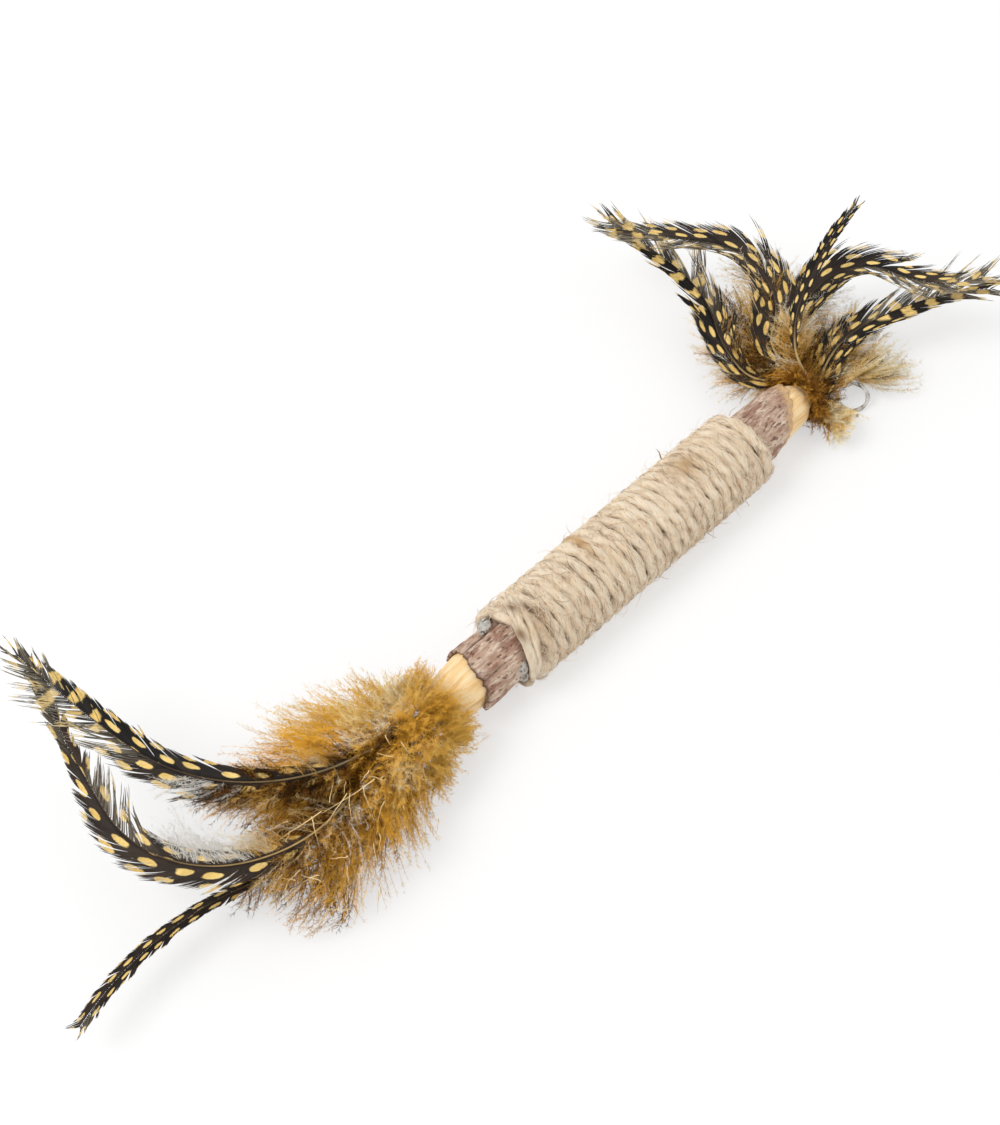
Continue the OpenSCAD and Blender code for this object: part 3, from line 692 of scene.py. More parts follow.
def build_bark():
    """The bark's tube, with its wall, cracks, ragged left end and pared right end."""
    ragged = bpy.context.scene.twig_bark.raggedness
    columns = 110
    a = np.linspace(0, 360, columns, endpoint=False)[None, :]
    t = np.concatenate([np.linspace(0, 0.15, 55), np.linspace(0.17, 0.83, 12), np.linspace(0.85, 1, 63)])
    rings = len(t)
    left_rags = waves(3, a * 0.11, count=6) * 0.3 + waves(4, a * 0.4, count=6) * 0.2
    right_rags = waves(5, a * 0.15, count=6) * 0.3 + waves(14, a * 0.5, count=6) * 0.12
    left = lookup(BARK_LEFT_END, a) + ragged * left_rags
    right = BARK_HIGH[0] - BARK_SLANT + BARK_SLANT * np.cos(np.radians(a - 45)) + ragged * right_rags
    x = left + (right - left) * t[:, None]
    outer = lookup(BARK_PROFILE, x)
    inner = outer - BARK_WALL
    bare = np.clip((np.abs(x + 3.5) - 38) / 3, 0, 1)
    across, up = np.cos(np.radians(a)), np.sin(np.radians(a))
    lumps = waves(6, x * 0.16, across * 2, up * 2) * 0.16
    ridges = waves(7, x * 0.3, a * 0.12, count=9) * 0.14 + waves(8, x * 0.9, a * 0.33, count=9) * 0.1
    turn = (a - 62 - waves(9, x * 0.3) * 4 + 180) % 360 - 180
    other = a - 131 + waves(10, x * 0.5) * 5
    split = hump(turn, 0, 2.6) * (x < -41) + 0.5 * hump(other, 0, 2.2) * (x < -48)
    pared = smooth(right - x, 3.6, 0.3)
    edge = smooth(x - left, 0.7, 0.0)
    outer = outer + (lumps + ridges) * bare - 0.45 * split - 0.25 * edge - 0.5 * pared
    inner = np.minimum(inner, outer - 0.12)
    count = rings * columns
    skin = closed_grid(rings, columns)
    last = count - columns
    faces = np.concatenate([skin[:, ::-1], skin + count, bridge(0, count, columns)[:, ::-1],
                            bridge(last, last + count, columns)])
    points = np.concatenate([twig_point(x, outer, a).reshape(-1, 3), twig_point(x, inner, a).reshape(-1, 3)])
    crack = np.clip(split + 0.8 * edge * (waves(11, a * 0.3, x) > -0.3), 0, 1).ravel()
    shaved = np.clip(pared * (1 + 0.5 * waves(18, a * 0.3, x * 2)), 0, 1).ravel()
    piece = build_mesh("bark_skin", points, faces, crack=np.concatenate([crack, np.full(count, 0.7)]),
                       pared=np.concatenate([shaved, np.zeros(count)]))
    finish_piece(piece, bark_material(), "stick", "bark", "bark")


def build_wood():
    """The pared twig with its whittled facets and the two drilled sockets."""
    columns, cuts = 120, 16
    a = np.linspace(0, 360, columns, endpoint=False)
    low, high = WOOD_LOW[0], WOOD_HIGH[0]
    xs = np.concatenate([np.linspace(low, -52, 40), np.linspace(-50, 40, 8), np.linspace(42, high, 50)])
    x = np.repeat(xs[:, None], columns, axis=1)
    radius = lookup(WOOD_PROFILE, x)
    rng = np.random.default_rng(21)
    for end, first, r0, taper in ((-1, BARK_LOW[0], 6.4, 0.14), (1, 46, 5.9, 0.07)):
        reach = (x - first) * end
        for k in range(cuts):
            turn = 360 / cuts * (k + rng.uniform(-0.3, 0.3))
            flat = r0 * rng.uniform(0.96, 1.0) - rng.uniform(0.03, taper) * np.maximum(reach, 0)
            c = np.cos(np.radians(a - turn))
            plane = np.where(c > 0.7, flat / np.maximum(c, 0.7), 99)
            radius = np.where(reach > -1.5, np.minimum(radius, plane), radius)
    tip = smooth(low + 0.7 - x, 0, 0.7) * 0.35 + np.clip((x - high + 4.5) / 4.5, 0, 1) ** 2 * 2.2
    radius = np.maximum(radius - tip, SOCKET_R + 0.3)
    outside = list(twig_point(x, radius, a))

    def socket(mouth, way):
        """A socket's rings, from the pith's bore at its bottom to its chamfered mouth."""
        bottom = mouth + way * SOCKET_DEPTH
        places = ((bottom, BORE_R), (bottom, SOCKET_R), (mouth + way * CHAMFER, SOCKET_R),
                  (mouth, SOCKET_R + CHAMFER))
        return [twig_point(np.full(columns, place), size, a) for place, size in places]

    rows = socket(low, 1) + outside + socket(high, -1)[::-1]
    skin = closed_grid(len(rows), columns)[:, ::-1]
    bore = bridge((len(rows) - 1) * columns, 0, columns)
    piece = build_mesh("pared_twig", np.concatenate(rows), np.concatenate([skin, bore]))
    finish_piece(piece, pared_wood_material(), "stick", "bare_wood", "wood_core")


# Twine

def round_twig(points):
    """Each point's place along the twig and its angle round it."""
    return points[:, 0], np.degrees(np.arctan2(points[:, 2] - PITH_Z, points[:, 1]))


def stain(points):
    """Ochre stains: on the raised turn left of the middle, in a patch on the right, and at the left end."""
    x, angle = round_twig(points)
    raised = hump(x + 0.02 * angle, -14.2, 1.1) * hump(angle, 55, 45)
    patch = hump(x, 16.5, 3.2) * hump(angle, 80, 20)
    edge = hump(x, -38, 2.5) * hump(angle, 120, 30)
    return np.clip(0.9 * raised + 0.7 * patch + 0.35 * edge, 0, 1)


def hollow_shade(points):
    """Painted shade in each hollow between the tangled strands at the winding's left end."""
    x, angle = round_twig(points)
    return 0.9 * sum(hump(x, place, 1.1) * hump(angle, turn, 11) for place, turn in HOLLOWS)


def twine_strand(gather, centre, out, width, lay, seed):
    """Two plies that twist round each other along a line, lying flatter than they are wide."""
    rng = np.random.default_rng(seed)
    along = unit(np.gradient(centre, axis=0))
    across = np.cross(along, out)
    length = np.concatenate([[0], np.cumsum(np.linalg.norm(np.diff(centre, axis=0), axis=1))])
    sides = 14
    a = np.linspace(0, 2 * math.pi, sides, endpoint=False)[None, :]
    for ply in range(2):
        phase = 2 * math.pi * (length / lay + ply / 2) + waves(seed + 3, length * 0.15) * 0.5
        line = centre + width * 0.14 * (np.cos(phase)[:, None] * across + 0.75 * np.sin(phase)[:, None] * out)
        lobes = 1 + 0.05 * np.cos(5 * a - phase[:, None] * 1.3) + 0.04 * np.cos(7 * a + length[:, None] * 0.9)
        lobes = lobes + 0.025 * rng.normal(size=(len(length), sides))
        thick = width * 0.38 * (1 + 0.07 * waves(seed + 5 + ply, length * 0.7))
        turn = a - length[:, None] * 0.35
        gather.tube(line, thick, out, sides=sides, lobes=lobes, run=length + 50 * ply,
                    round_y=np.cos(turn) + 3 * ply, round_z=np.sin(turn))


def build_laps(gather, seat, width, lay):
    """The strands that cross the winding's left end."""
    t = np.linspace(0, 1, 60)
    for i, (lead, slip, rise, thin) in enumerate(LAPS):
        angle = 50 + lead + 132 * t
        x = lookup(LAP_PATH, t) + slip * np.sin(math.pi * t)
        radius = seat + 0.1 + rise * np.sin(math.pi * np.clip(t * 1.1 + 0.02, 0, 1)) ** 0.5
        line = twig_point(x + 0.2 * waves(75 + i, t * 9), radius, angle)
        out = unit(line - twig_point(x, 0, angle))
        twine_strand(gather, line, out, width * thin, lay, 70 + 4 * i)


def build_twine():
    """The winding with its crossing laps, and the loose fibres on it."""
    s = bpy.context.scene.twig_twine
    width, lay = s.twine_width / MM, s.lay / MM
    seat = WOUND_R + width * 0.4
    first, last = WINDING_LOW[0] + width * 0.45, WINDING_HIGH[0] - width * 0.45
    t = np.linspace(0, 1, s.turns * 48 + 1)
    angle = 217.5 + 360 * s.turns * t
    rng = np.random.default_rng(5)
    drift = np.interp(t * s.turns, np.arange(s.turns + 1), rng.normal(0, 0.2, s.turns + 1))
    drift = drift + waves(24, t * s.turns * 4) * 0.12
    x = first + (last - first) * t + drift * smooth(np.minimum(t, 1 - t), 0, 0.04)
    raised = hump(x, -15, 4) * hump((angle - 45 + 180) % 360 - 180, 0, 50)
    radius = seat + waves(12, t * s.turns * 5) * 0.1 + 0.35 * raised
    centre = twig_point(x, radius, angle)
    out = unit(centre - twig_point(x, 0, angle))
    gather = Strands(*TWINE_VALUES)
    twine_strand(gather, centre, out, width, lay, 60)
    build_laps(gather, seat, width, lay)
    points = np.concatenate(gather.points)
    distance = np.hypot(points[:, 1], points[:, 2] - PITH_Z)
    # Painted shade where the twine lies low between its plies and turns, and in each hollow among the laps
    gather.values["depth"] = [np.maximum(0.85 * smooth(distance, seat + 0.7, seat - 0.1), hollow_shade(points))]
    gather.values["stain"] = [stain(points)]
    material = jute_material()
    finish_piece(gather.piece("twine_turns", floor=0.02), material, "stick", "jute_twine", "twine_winding")
    finish_piece(build_fibres(s.fibres, centre, out, seat, width), material, "stick", "jute_twine")


def build_fibres(n, centre, out, seat, width):
    """Loose fibres on the turns: most lie along them, some stand off, and one dark stub sticks up."""
    rng = np.random.default_rng(6)
    along = unit(np.gradient(centre, axis=0))
    last = len(centre) - 1
    index = rng.uniform(0.003, 0.997, n) * last
    base, direction, sideways = (
        np.stack([np.interp(index, np.arange(last + 1), v[:, c]) for c in range(3)], 1)
        for v in (centre, along, np.cross(along, out)))
    tangled = (base[:, 0] < -31) & (rng.random(n) < 0.3)
    stray = (rng.random(n) < 0.07) | tangled
    k = 4
    q = np.linspace(0, 1, k)[None, :]
    size = np.where(stray, rng.uniform(1.5, 5, n), rng.uniform(1.5, 5, n))[:, None]
    yaw = rng.normal(0.14, 0.34, n)[:, None] + np.where(stray, rng.normal(0, 0.8, n), 0)[:, None]
    yaw = yaw + rng.choice([0, math.pi], n)[:, None]
    lift = np.where(stray, rng.uniform(0.2, 1.1, n) * np.where(tangled, 0.3, 1), 0)[:, None]
    curl = rng.normal(0, 0.35, n)[:, None]
    forward = np.cos(yaw + curl * q) * size * q
    sidestep = np.sin(yaw + curl * q) * size * q + rng.uniform(-0.55, 0.55, n)[:, None] * width
    lines = base[:, None] + direction[:, None] * forward[..., None] + sideways[:, None] * sidestep[..., None]
    crown = np.sqrt(np.clip(1 - (np.minimum(np.abs(sidestep), 0.5 * width) / (0.5 * width)) ** 2, 0, 1))
    crown = np.where(np.abs(sidestep) < 0.5 * width, crown, 0.6)
    axis = lines * np.array([1, 0, 0]) + np.array([0, 0, PITH_Z])
    height = seat + width * (0.17 + 0.34 * crown) + lift * size * q * (1 - 0.35 * q)
    height = height + rng.uniform(-0.12, 0.06, n)[:, None]
    lines = axis + unit(lines - axis) * height[..., None]
    half = rng.uniform(0.03, 0.085, n)[:, None] * (1 - 0.5 * q)
    fuzz = Strands(*TWINE_VALUES)
    fuzz.add(lines, half, run=rng.uniform(0, 400, (n, 1)) + size * q, round_y=rng.uniform(-3, 3, (n, 1)),
             round_z=rng.uniform(-3, 3, (n, 1)), depth=np.where(rng.random((n, 1)) < 0.16, 0.75, 0.0),
             stain=stain(lines.reshape(-1, 3)).reshape(n, k))
    x, radius, angle, thick = np.array(STUB).T
    fuzz.add(twig_point(x, radius, angle)[None], thick[None], depth=1.6)
    return fuzz.piece("twine_fibres", floor=0.02)


# Glue

def build_dab(name, lumps, seed, material):
    """A crinkled dab of glue on the bark, joined from its lumps."""
    deselect_all()
    made = []
    for x, angle, length, width, thick in lumps:
        bpy.ops.mesh.primitive_ico_sphere_add(subdivisions=4, radius=1)
        lump = bpy.context.object
        made.append(lump)
        co = np.array([v.co for v in lump.data.vertices])
        crinkle = 1 + 0.13 * waves(seed, *(co.T * 3), count=6) + 0.06 * waves(seed + 1, *(co.T * 8), count=6)
        co = co * crinkle[:, None]
        place = twig_point(x + co[:, 0] * length, BARK_R + np.maximum(co[:, 2], -0.4) * thick,
                           angle + np.degrees(co[:, 1] * width / BARK_R)) * MM
        lump.data.vertices.foreach_set("co", place.astype(np.float32).ravel())
        lump.data.update()
    for lump in made:
        lump.select_set(True)
    bpy.context.view_layer.objects.active = made[0]
    bpy.ops.object.join()
    piece = bpy.context.object
    piece.name = piece.data.name = name + "_crinkled"
    bpy.ops.object.mode_set(mode="EDIT")
    bpy.ops.mesh.select_all(action="SELECT")
    bpy.ops.mesh.normals_make_consistent(inside=False)
    bpy.ops.object.mode_set(mode="OBJECT")
    bpy.ops.object.shade_smooth()
    finish_piece(piece, material, "stick", "hot_glue", name)


def build_glue_string(material):
    """The thread of clear glue, with its tilted ring and a few crumbs."""
    rng = np.random.default_rng(88)
    gather = Strands()
    a = np.linspace(0, 2 * math.pi, 61)
    tilt, turn = math.radians(38), math.radians(-45)
    flat = np.stack([np.cos(a), np.sin(a) * math.cos(tilt), np.sin(a) * math.sin(tilt)], 1)
    spin = np.array([[math.cos(turn), math.sin(turn), 0], [-math.sin(turn), math.cos(turn), 0], [0, 0, 1]])
    ring = RING_MIDDLE + RING_RADIUS * (1 + 0.05 * np.cos(2 * a))[:, None] * (flat @ spin)
    gather.tube(ring, 0.42 + 0.14 * np.cos(a * 3) ** 2, (0, 0, 1), sides=12)
    start = np.array([RIGHT_MOUTH_X + 0.2, -0.7 * PLUG_R, PITH_Z - 0.5 * PLUG_R])
    end = ring[np.argmin(np.linalg.norm(ring - start, axis=1))]
    t = np.linspace(0, 1, 24)[:, None]
    thread = start + (end - start) * t - np.array([0, 0, 2.2]) * np.sin(math.pi * t) * (1 - 0.4 * t)
    gather.tube(thread, 0.3 + 0.16 * np.cos(t[:, 0] * 9) ** 2, (0, 0, 1), sides=10)
    for _ in range(5):
        at = RING_MIDDLE + np.array([-5, -3.6, 0]) + rng.uniform(-1.6, 1.6, 3) * (1, 1, 0)
        at[2] = rng.uniform(0.7, 2.4)
        line = at + np.linspace(-0.5, 0.5, 7)[:, None] * unit(rng.normal(size=3)) * rng.uniform(0.8, 1.6)
        thick = rng.uniform(0.3, 0.6) * np.sin(np.linspace(0.25, math.pi - 0.25, 7))
        gather.tube(line, thick, (0.2, 0.3, 1), sides=8)
    finish_piece(gather.piece("glue_thread", floor=0.05), material, "stick", "clear_glue", "glue_string")


def build_glue():
    """The set glue in the sockets, the thread with its ring, and the dabs."""
    cloudy = glue_material("cloudy_glue", "#e9e2cf", 0.3)
    wet = glue_material("wet_clear_glue", "#d5cec2", 0.45)
    for name in ("left_glue_plug", "right_glue_plug"):
        dress(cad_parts[name], cloudy)
    build_glue_string(glue_material("clear_glue", "#d9d5cb", 0.65))
    for name, (seed, *lumps) in DABS.items():
        build_dab(name, lumps, seed, wet)


# Feathers

class FeatherLine:
    """The middle line of a feather, as the part's source lays it, made smooth."""

    def __init__(self, name):
        self.side, self.length, self.width, root, self.flex, turns = FEATHERS[name]
        turns = np.array(turns, float)
        s = (np.arange(LINE_STEPS) + 0.5) / LINE_STEPS
        yaw = np.radians(np.interp(s, turns[:, 0], turns[:, 1]))
        pitch = np.radians(np.interp(s, turns[:, 0], turns[:, 2]))
        step = self.length / LINE_STEPS * np.stack(
            [np.cos(pitch) * np.cos(yaw), np.cos(pitch) * np.sin(yaw), np.sin(pitch)], 1)
        mouth = LEFT_MOUTH_X if self.side == "left" else RIGHT_MOUTH_X
        start = np.array([mouth, root[0] * PLUG_R, PITH_Z + root[1] * PLUG_R])
        self.knots = np.concatenate([start[None], start + np.cumsum(step, axis=0)])
        self.slopes = np.gradient(self.knots, axis=0)

    def at(self, s):
        """Place, direction, side and normal at shares of the length."""
        s = np.asarray(s, float)
        x = np.clip(s, 0, 1) * LINE_STEPS
        i = np.minimum(x.astype(int), LINE_STEPS - 1)
        t = (x - i)[..., None]
        p, q, m, n = self.knots[i], self.knots[i + 1], self.slopes[i], self.slopes[i + 1]
        place = ((2 * t ** 3 - 3 * t ** 2 + 1) * p + (t ** 3 - 2 * t ** 2 + t) * m
                 + (3 * t ** 2 - 2 * t ** 3) * q + (t ** 3 - t ** 2) * n)
        along = unit((6 * t ** 2 - 6 * t) * p + (3 * t ** 2 - 4 * t + 1) * m
                     + (6 * t - 6 * t ** 2) * q + (3 * t ** 2 - 2 * t) * n)
        place = place + along * (np.maximum(s - 1, 0) * self.length)[..., None]
        side = unit(np.cross(np.broadcast_to([0.0, 0, 1], along.shape), along))
        return place, along, side, np.cross(along, side)

    def straight_barbs(self, root, u, v, lift):
        """Points at u along, v across and lift above the shaft as it runs at each barb's root."""
        where, along, across, normal = (w[:, None] for w in self.at(root))
        return where + u[..., None] * along + v[..., None] * across + lift[..., None] * normal


def cluster_means(values, which):
    """The mean of the barbs' values in each cluster."""
    return np.array([values[which == w].mean() for w in range(which.max() + 1)])


def barb_clusters(rng, n, mean):
    """For each of n barbs, its cluster's number and how far it lies from the cluster's middle."""
    cuts = np.cumsum(np.maximum(rng.poisson(mean, n), 2))
    which = np.searchsorted(cuts, np.arange(n), side="right")
    return which, np.arange(n) - cluster_means(np.arange(n), which)[which]


def barb_run(size, theta):
    """How far barbs reach along and across the shaft, from their size and their angle at each point."""
    step = size / (theta.shape[1] - 1)
    start = np.zeros((len(theta), 1))
    return (np.concatenate([start, np.cumsum(step * part(theta[:, 1:]), axis=1)], axis=1)
            for part in (np.cos, np.sin))


def between(t, low, high, soft):
    """1 between low and high, with soft ends."""
    return smooth(t, low, low + soft) * (1 - smooth(t, high, high + soft))


def vane_barbs(gather, line, seed, side, spacing, look):
    """The firm barbs on one side of a feather, in clusters that part a little and come apart in places.

    The uv counts the spots: along the shaft to the barb's root, and along the barb."""
    rng = np.random.default_rng(seed)
    first = line.flex - look.get("early", 0.03)
    n = int(line.length * (1 - first) / spacing)
    root = first + (1 - first) * (np.arange(n) + rng.uniform(-0.3, 0.3, n)) / n
    t = (root - first) / (1 - first)
    apart = np.zeros(n)
    for which, low, high, share in look["loose"]:
        if which == side:
            apart = share * between(t, low, high, 0.08)
    loose = np.maximum(apart, smooth(t, 0.86, 1) * 0.7)
    keep = rng.random(n) > 0.3 * loose
    root, t, loose, apart = root[keep], t[keep], loose[keep], apart[keep]
    n = len(root)

    # Angles and sizes, by cluster and barb
    which, off = barb_clusters(rng, n, 8)
    own = cluster_means(loose, which)
    groups = len(own)
    closed = (line.side == "right") * (cluster_means(t, which) < 0.45)
    parts = rng.random(groups) < 0.07 + 0.5 * own - 0.06 * closed
    parting = np.where(parts, rng.uniform(2, 9, groups), 0)
    turn = (rng.normal(0, 0.9 + 4 * own, groups) + parting)[which] + rng.normal(0, 1.5, n) * loose
    r = np.linspace(0, 1, VANE_POINTS)[None, :]
    start_angle = 40 - 12 * t + turn
    end_angle = 19 - 7 * t + turn * 1.5
    theta = np.radians(np.clip(start_angle[:, None] + (end_angle - start_angle)[:, None] * r ** 0.7, 5, 80))
    half = line.width / 2 * lookup(look["width"], t)
    size = half / np.sin(np.radians(34 - 10 * t)) * (1 + rng.normal(0, 0.05, n))
    size = size * (1 + rng.normal(0, 0.04, groups))[which]
    size = size * (1 + loose * rng.uniform(-0.3, 0.6, n))

    # Lines, which follow the shaft's bend for the most part
    u, v = barb_run(size[:, None], theta)
    u = u - off[:, None] * spacing * (0.2 + 0.75 * loose[:, None]) * r ** 2
    lift = look["camber"] * v ** 2 / line.width + r ** 2 * (
        rng.normal(0, 0.15 + 0.7 * own, groups)[which] + rng.normal(0, 0.06, n))[:, None]
    rigid = line.straight_barbs(root, u, side * v, lift)
    share = root[:, None] + u / line.length
    where, _, across, normal = line.at(share)
    lines = where + (side * v)[..., None] * across + lift[..., None] * normal
    lines = 0.3 * rigid + 0.7 * lines + side * 0.15 * across + 0.1 * normal
    thick = 0.18 * (0.7 + 0.3 * np.maximum(2 * half / line.width, 1)) - 0.05 * loose
    thick = thick[:, None] * (1 - 0.6 * r)

    # Colour values
    spot_along, spot_across = look["cell"]
    shift = 0.5 * spot_along if side < 0 else 0
    uv = np.stack([(root[:, None] * line.length + shift) / spot_along + 0 * r,
                   size[:, None] * r / spot_across + 0.5], -1)
    tone = look["brown"] + 0.14 * rng.normal(size=groups)[which][:, None]
    tone = np.clip(tone + 0.25 * waves(seed, share * 12, v * 0.2) + 0.1 * loose[:, None], 0, 1)
    slate = np.clip(apart[:, None] * rng.uniform(0.0, 1.1, n)[:, None] * (0.4 + 0.8 * r), 0, 1)
    pale = smooth(r, 0.84, 1.05) * rng.uniform(0, 0.9, n)[:, None] * (0.35 + smooth(t, 0.6, 1))[:, None]
    pale = np.maximum(np.clip(pale, 0, 1), 0.9 * slate)
    barred = np.zeros((n, 1))
    if look["bars"]:
        barred = (between(t, *look["bars"], 0.04) * (rng.random(n) < 0.9))[:, None]
    gather.add(lines, thick, up=normal, flat=0.35, uv=uv, tone=tone, pale=pale, barred=barred, reach=share,
               station=share * line.length + 1.2 * side)


def barbules(gather, lines, rng, count, sizes, girth, **values):
    """Short fine barbules all along loose barbs."""
    n, k, _ = lines.shape
    at = rng.uniform(0.08, 0.98, (n, count))
    i = np.minimum((at * (k - 1)).astype(int), k - 2)
    f = (at * (k - 1) - i)[..., None]
    rows = np.arange(n)[:, None]
    base = lines[rows, i] * (1 - f) + lines[rows, i + 1] * f
    along = unit(lines[rows, i + 1] - lines[rows, i])
    spread = rng.normal(size=(n, count, 3))
    spread = unit(spread - (spread * along).sum(-1, keepdims=True) * along)
    size = rng.uniform(*sizes, (n, count, 1)) * (1 - 0.4 * at[..., None])
    tip = base + unit(rng.uniform(0.4, 1.6, (n, count, 1)) * along + spread) * size
    path = np.stack([base, tip], axis=2).reshape(-1, 2, 3)
    flat = {key: np.broadcast_to(v, (n, k))[rows, i].reshape(-1, 1) for key, v in values.items()}
    flat["tone"] = flat["tone"] + [[0, 0.12]]
    gather.add(path, np.tile([BARBULE * girth, 0.0], (len(path), 1)), **flat)


def loose_barbs(gather, lines, rng, half, count, sizes, girth, **values):
    """Barbs that thin towards their ends, with barbules all along them."""
    r = np.linspace(0, 1, lines.shape[1])[None, :]
    gather.add(lines, half * girth * (1 - 0.6 * r) * np.ones((len(lines), 1)), **values)
    barbules(gather, lines, rng, count, sizes, girth, **values)


def downy_barbs(gather, line, seed, side, span, count, sizes, tones):
    """Loose barbs with barbules below a feather's vane; sizes and tones at both ends of the span."""
    rng = np.random.default_rng(seed)
    q = rng.uniform(0, 1, count)
    root = span[0] + (span[1] - span[0]) * q
    r = np.linspace(0, 1, BARB_POINTS)[None, :]
    theta = np.radians(rng.normal(66, 12, count)[:, None] - rng.normal(40, 14, count)[:, None] * r)
    size = ((sizes[0] + (sizes[1] - sizes[0]) * q) * rng.uniform(0.6, 1.15, count))[:, None]
    u, v = barb_run(size, theta)
    if line.side == "right":
        rise = rng.normal(-0.25, 0.2, count)
    else:
        rise = rng.normal(-0.02, 0.26, count) + 0.4 * (root < 0.34) * (rng.random(count) < 0.6)
    lines = line.straight_barbs(root, u, side * v, rise[:, None] * size * r ** 1.4)
    tone = tones[0] + (tones[1] - tones[0]) * q + 0.22 * waves(seed, q * 40) + rng.normal(0, 0.12, count)
    tone = np.clip(tone[:, None] + 0.3 * (r - 0.4), 0, 1)
    loose_barbs(gather, lines, rng, 0.055, 38, (0.8, 2.3), 1.0, tone=tone, fluff=1.0)


def build_feather(name, material):
    """A feather from its grip in the glue to its tip."""
    line = FeatherLine(name)
    look = FEATHER_LOOKS[name]
    seed = 100 + 10 * list(FEATHERS).index(name)
    gather = Strands("tone", "pale", "barred", "fluff", "shaft", "reach", "station")
    s = np.linspace(0, 1, 120)
    inwards = np.array([1.0 if line.side == "left" else -1.0, 0, 0])
    grip = line.knots[0] + inwards * GRIP_LEN
    shaft = np.concatenate([np.linspace(grip, line.knots[0], 6, endpoint=False), line.at(s)[0]])
    share = np.concatenate([np.zeros(6), s])
    gather.tube(shaft, 0.5 - 0.43 * np.minimum(share * 1.02, 1) ** 0.6, (0, 0, 1), sides=8,
                reach=share * (1.8 if line.side == "right" else 1), shaft=look.get("quill", 0.7) + 0 * share,
                tone=0.6 + 0 * share)
    for side in (-1, 1):
        vane_barbs(gather, line, seed + side, side, 0.27, look)
        for i, (which, *fluff) in enumerate(look["fluff"]):
            if which in (0, side):
                downy_barbs(gather, line, seed + 5 + side + 2 * i, side, *fluff)
    piece = gather.piece("feather_" + name, floor=0.25)
    finish_piece(piece, material, None, "spotted_vane", name + "_quill", name + "_vane")
    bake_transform(piece)


# Down

class TuftShape:
    """The space of the left tuft: a bell of down round the quills, level under the twig."""

    start, length = TUFT_START_X, TUFT_LEN
    heart = (TUFT_START_X - 0.5 * TUFT_LEN, 0, PITH_Z - 6), (0.35, 1, 1.6)

    def point(self, t, a, rho):
        """A point at a share of the length, an angle and a share of the reach."""
        w = TUFT_HALF_WIDTH * lookup(TUFT_WIDTH, t)
        h = TUFT_HEIGHT * lookup(TUFT_RISE, t)
        sine, cosine = np.sin(np.radians(a)), np.cos(np.radians(a))
        above = 1 / np.hypot(cosine / w, sine / h)
        below = np.minimum(w, (PITH_Z - 0.3) / np.maximum(-sine, 1e-3))
        reach = np.where(sine < 0, below, above)
        x = self.start - t * self.length
        return np.stack(np.broadcast_arrays(x, rho * reach * cosine, PITH_Z + rho * reach * sine), axis=-1)


class PlumeShape:
    """The space of a right plume: an oval that swells and closes along a level axis."""

    def __init__(self, root, yaw, size):
        self.root = np.array([RIGHT_MOUTH_X + PLUG_R * root[0], PLUG_R * root[1], PITH_Z - PLUG_R * root[2]])
        self.along = np.array([math.cos(math.radians(yaw)), math.sin(math.radians(yaw)), 0])
        self.side = np.array([-self.along[1], self.along[0], 0])
        self.length = PLUME_LEN * size[0]
        self.w, self.h = PLUME_HALF_WIDTH * size[1], PLUME_HALF_HEIGHT * size[2]
        self.heart = (RIGHT_MOUTH_X + 4, 0, -3), (0.6, 0.6, 1.6)

    def point(self, t, a, rho):
        """A point at a share of the length, an angle and a share of the reach."""
        swell = lookup(PLUME_SWELL, t)
        t, a, rho, swell = (v[..., None] for v in np.broadcast_arrays(np.asarray(t, float), a, rho, swell))
        up = np.array([0, 0, 1.0])
        return (self.root + self.along * t * self.length + rho * swell * (
            self.w * np.cos(np.radians(a)) * self.side + self.h * np.sin(np.radians(a)) * up))


def collar_lines(rng, count, angles, root, end):
    """Barbs that run from one range of places to another round the twig."""
    r = np.linspace(0, 1, BARB_POINTS)[None, :]
    a = rng.uniform(*angles, (count, 1)) + rng.normal(0, 14, (count, 1)) * r
    x0, x1 = rng.uniform(*root[0], (count, 1)), rng.uniform(*end[0], (count, 1))
    r0, r1 = rng.uniform(*root[1], (count, 1)), rng.uniform(*end[1], (count, 1))
    lines = twig_point(x0 + (x1 - x0) * r ** 1.5, r0 + (r1 - r0) * r ** 0.8, a)
    return lines + rng.normal(0, 0.15, (count, BARB_POINTS, 3)) * r[..., None]


def soften_normals(piece, middle, squash, share):
    """Leans the strands' normals out from the heart of the down, so that light falls softly over it."""
    mesh = piece.data
    points, own = np.empty(3 * len(mesh.vertices)), np.empty(3 * len(mesh.vertices))
    mesh.vertices.foreach_get("co", points)
    mesh.vertex_normals.foreach_get("vector", own)
    out = unit((points.reshape(-1, 3) / MM - middle) * squash)
    mesh.normals_split_custom_set_from_vertices(unit(share * out + (1 - share) * own.reshape(-1, 3)).tolist())


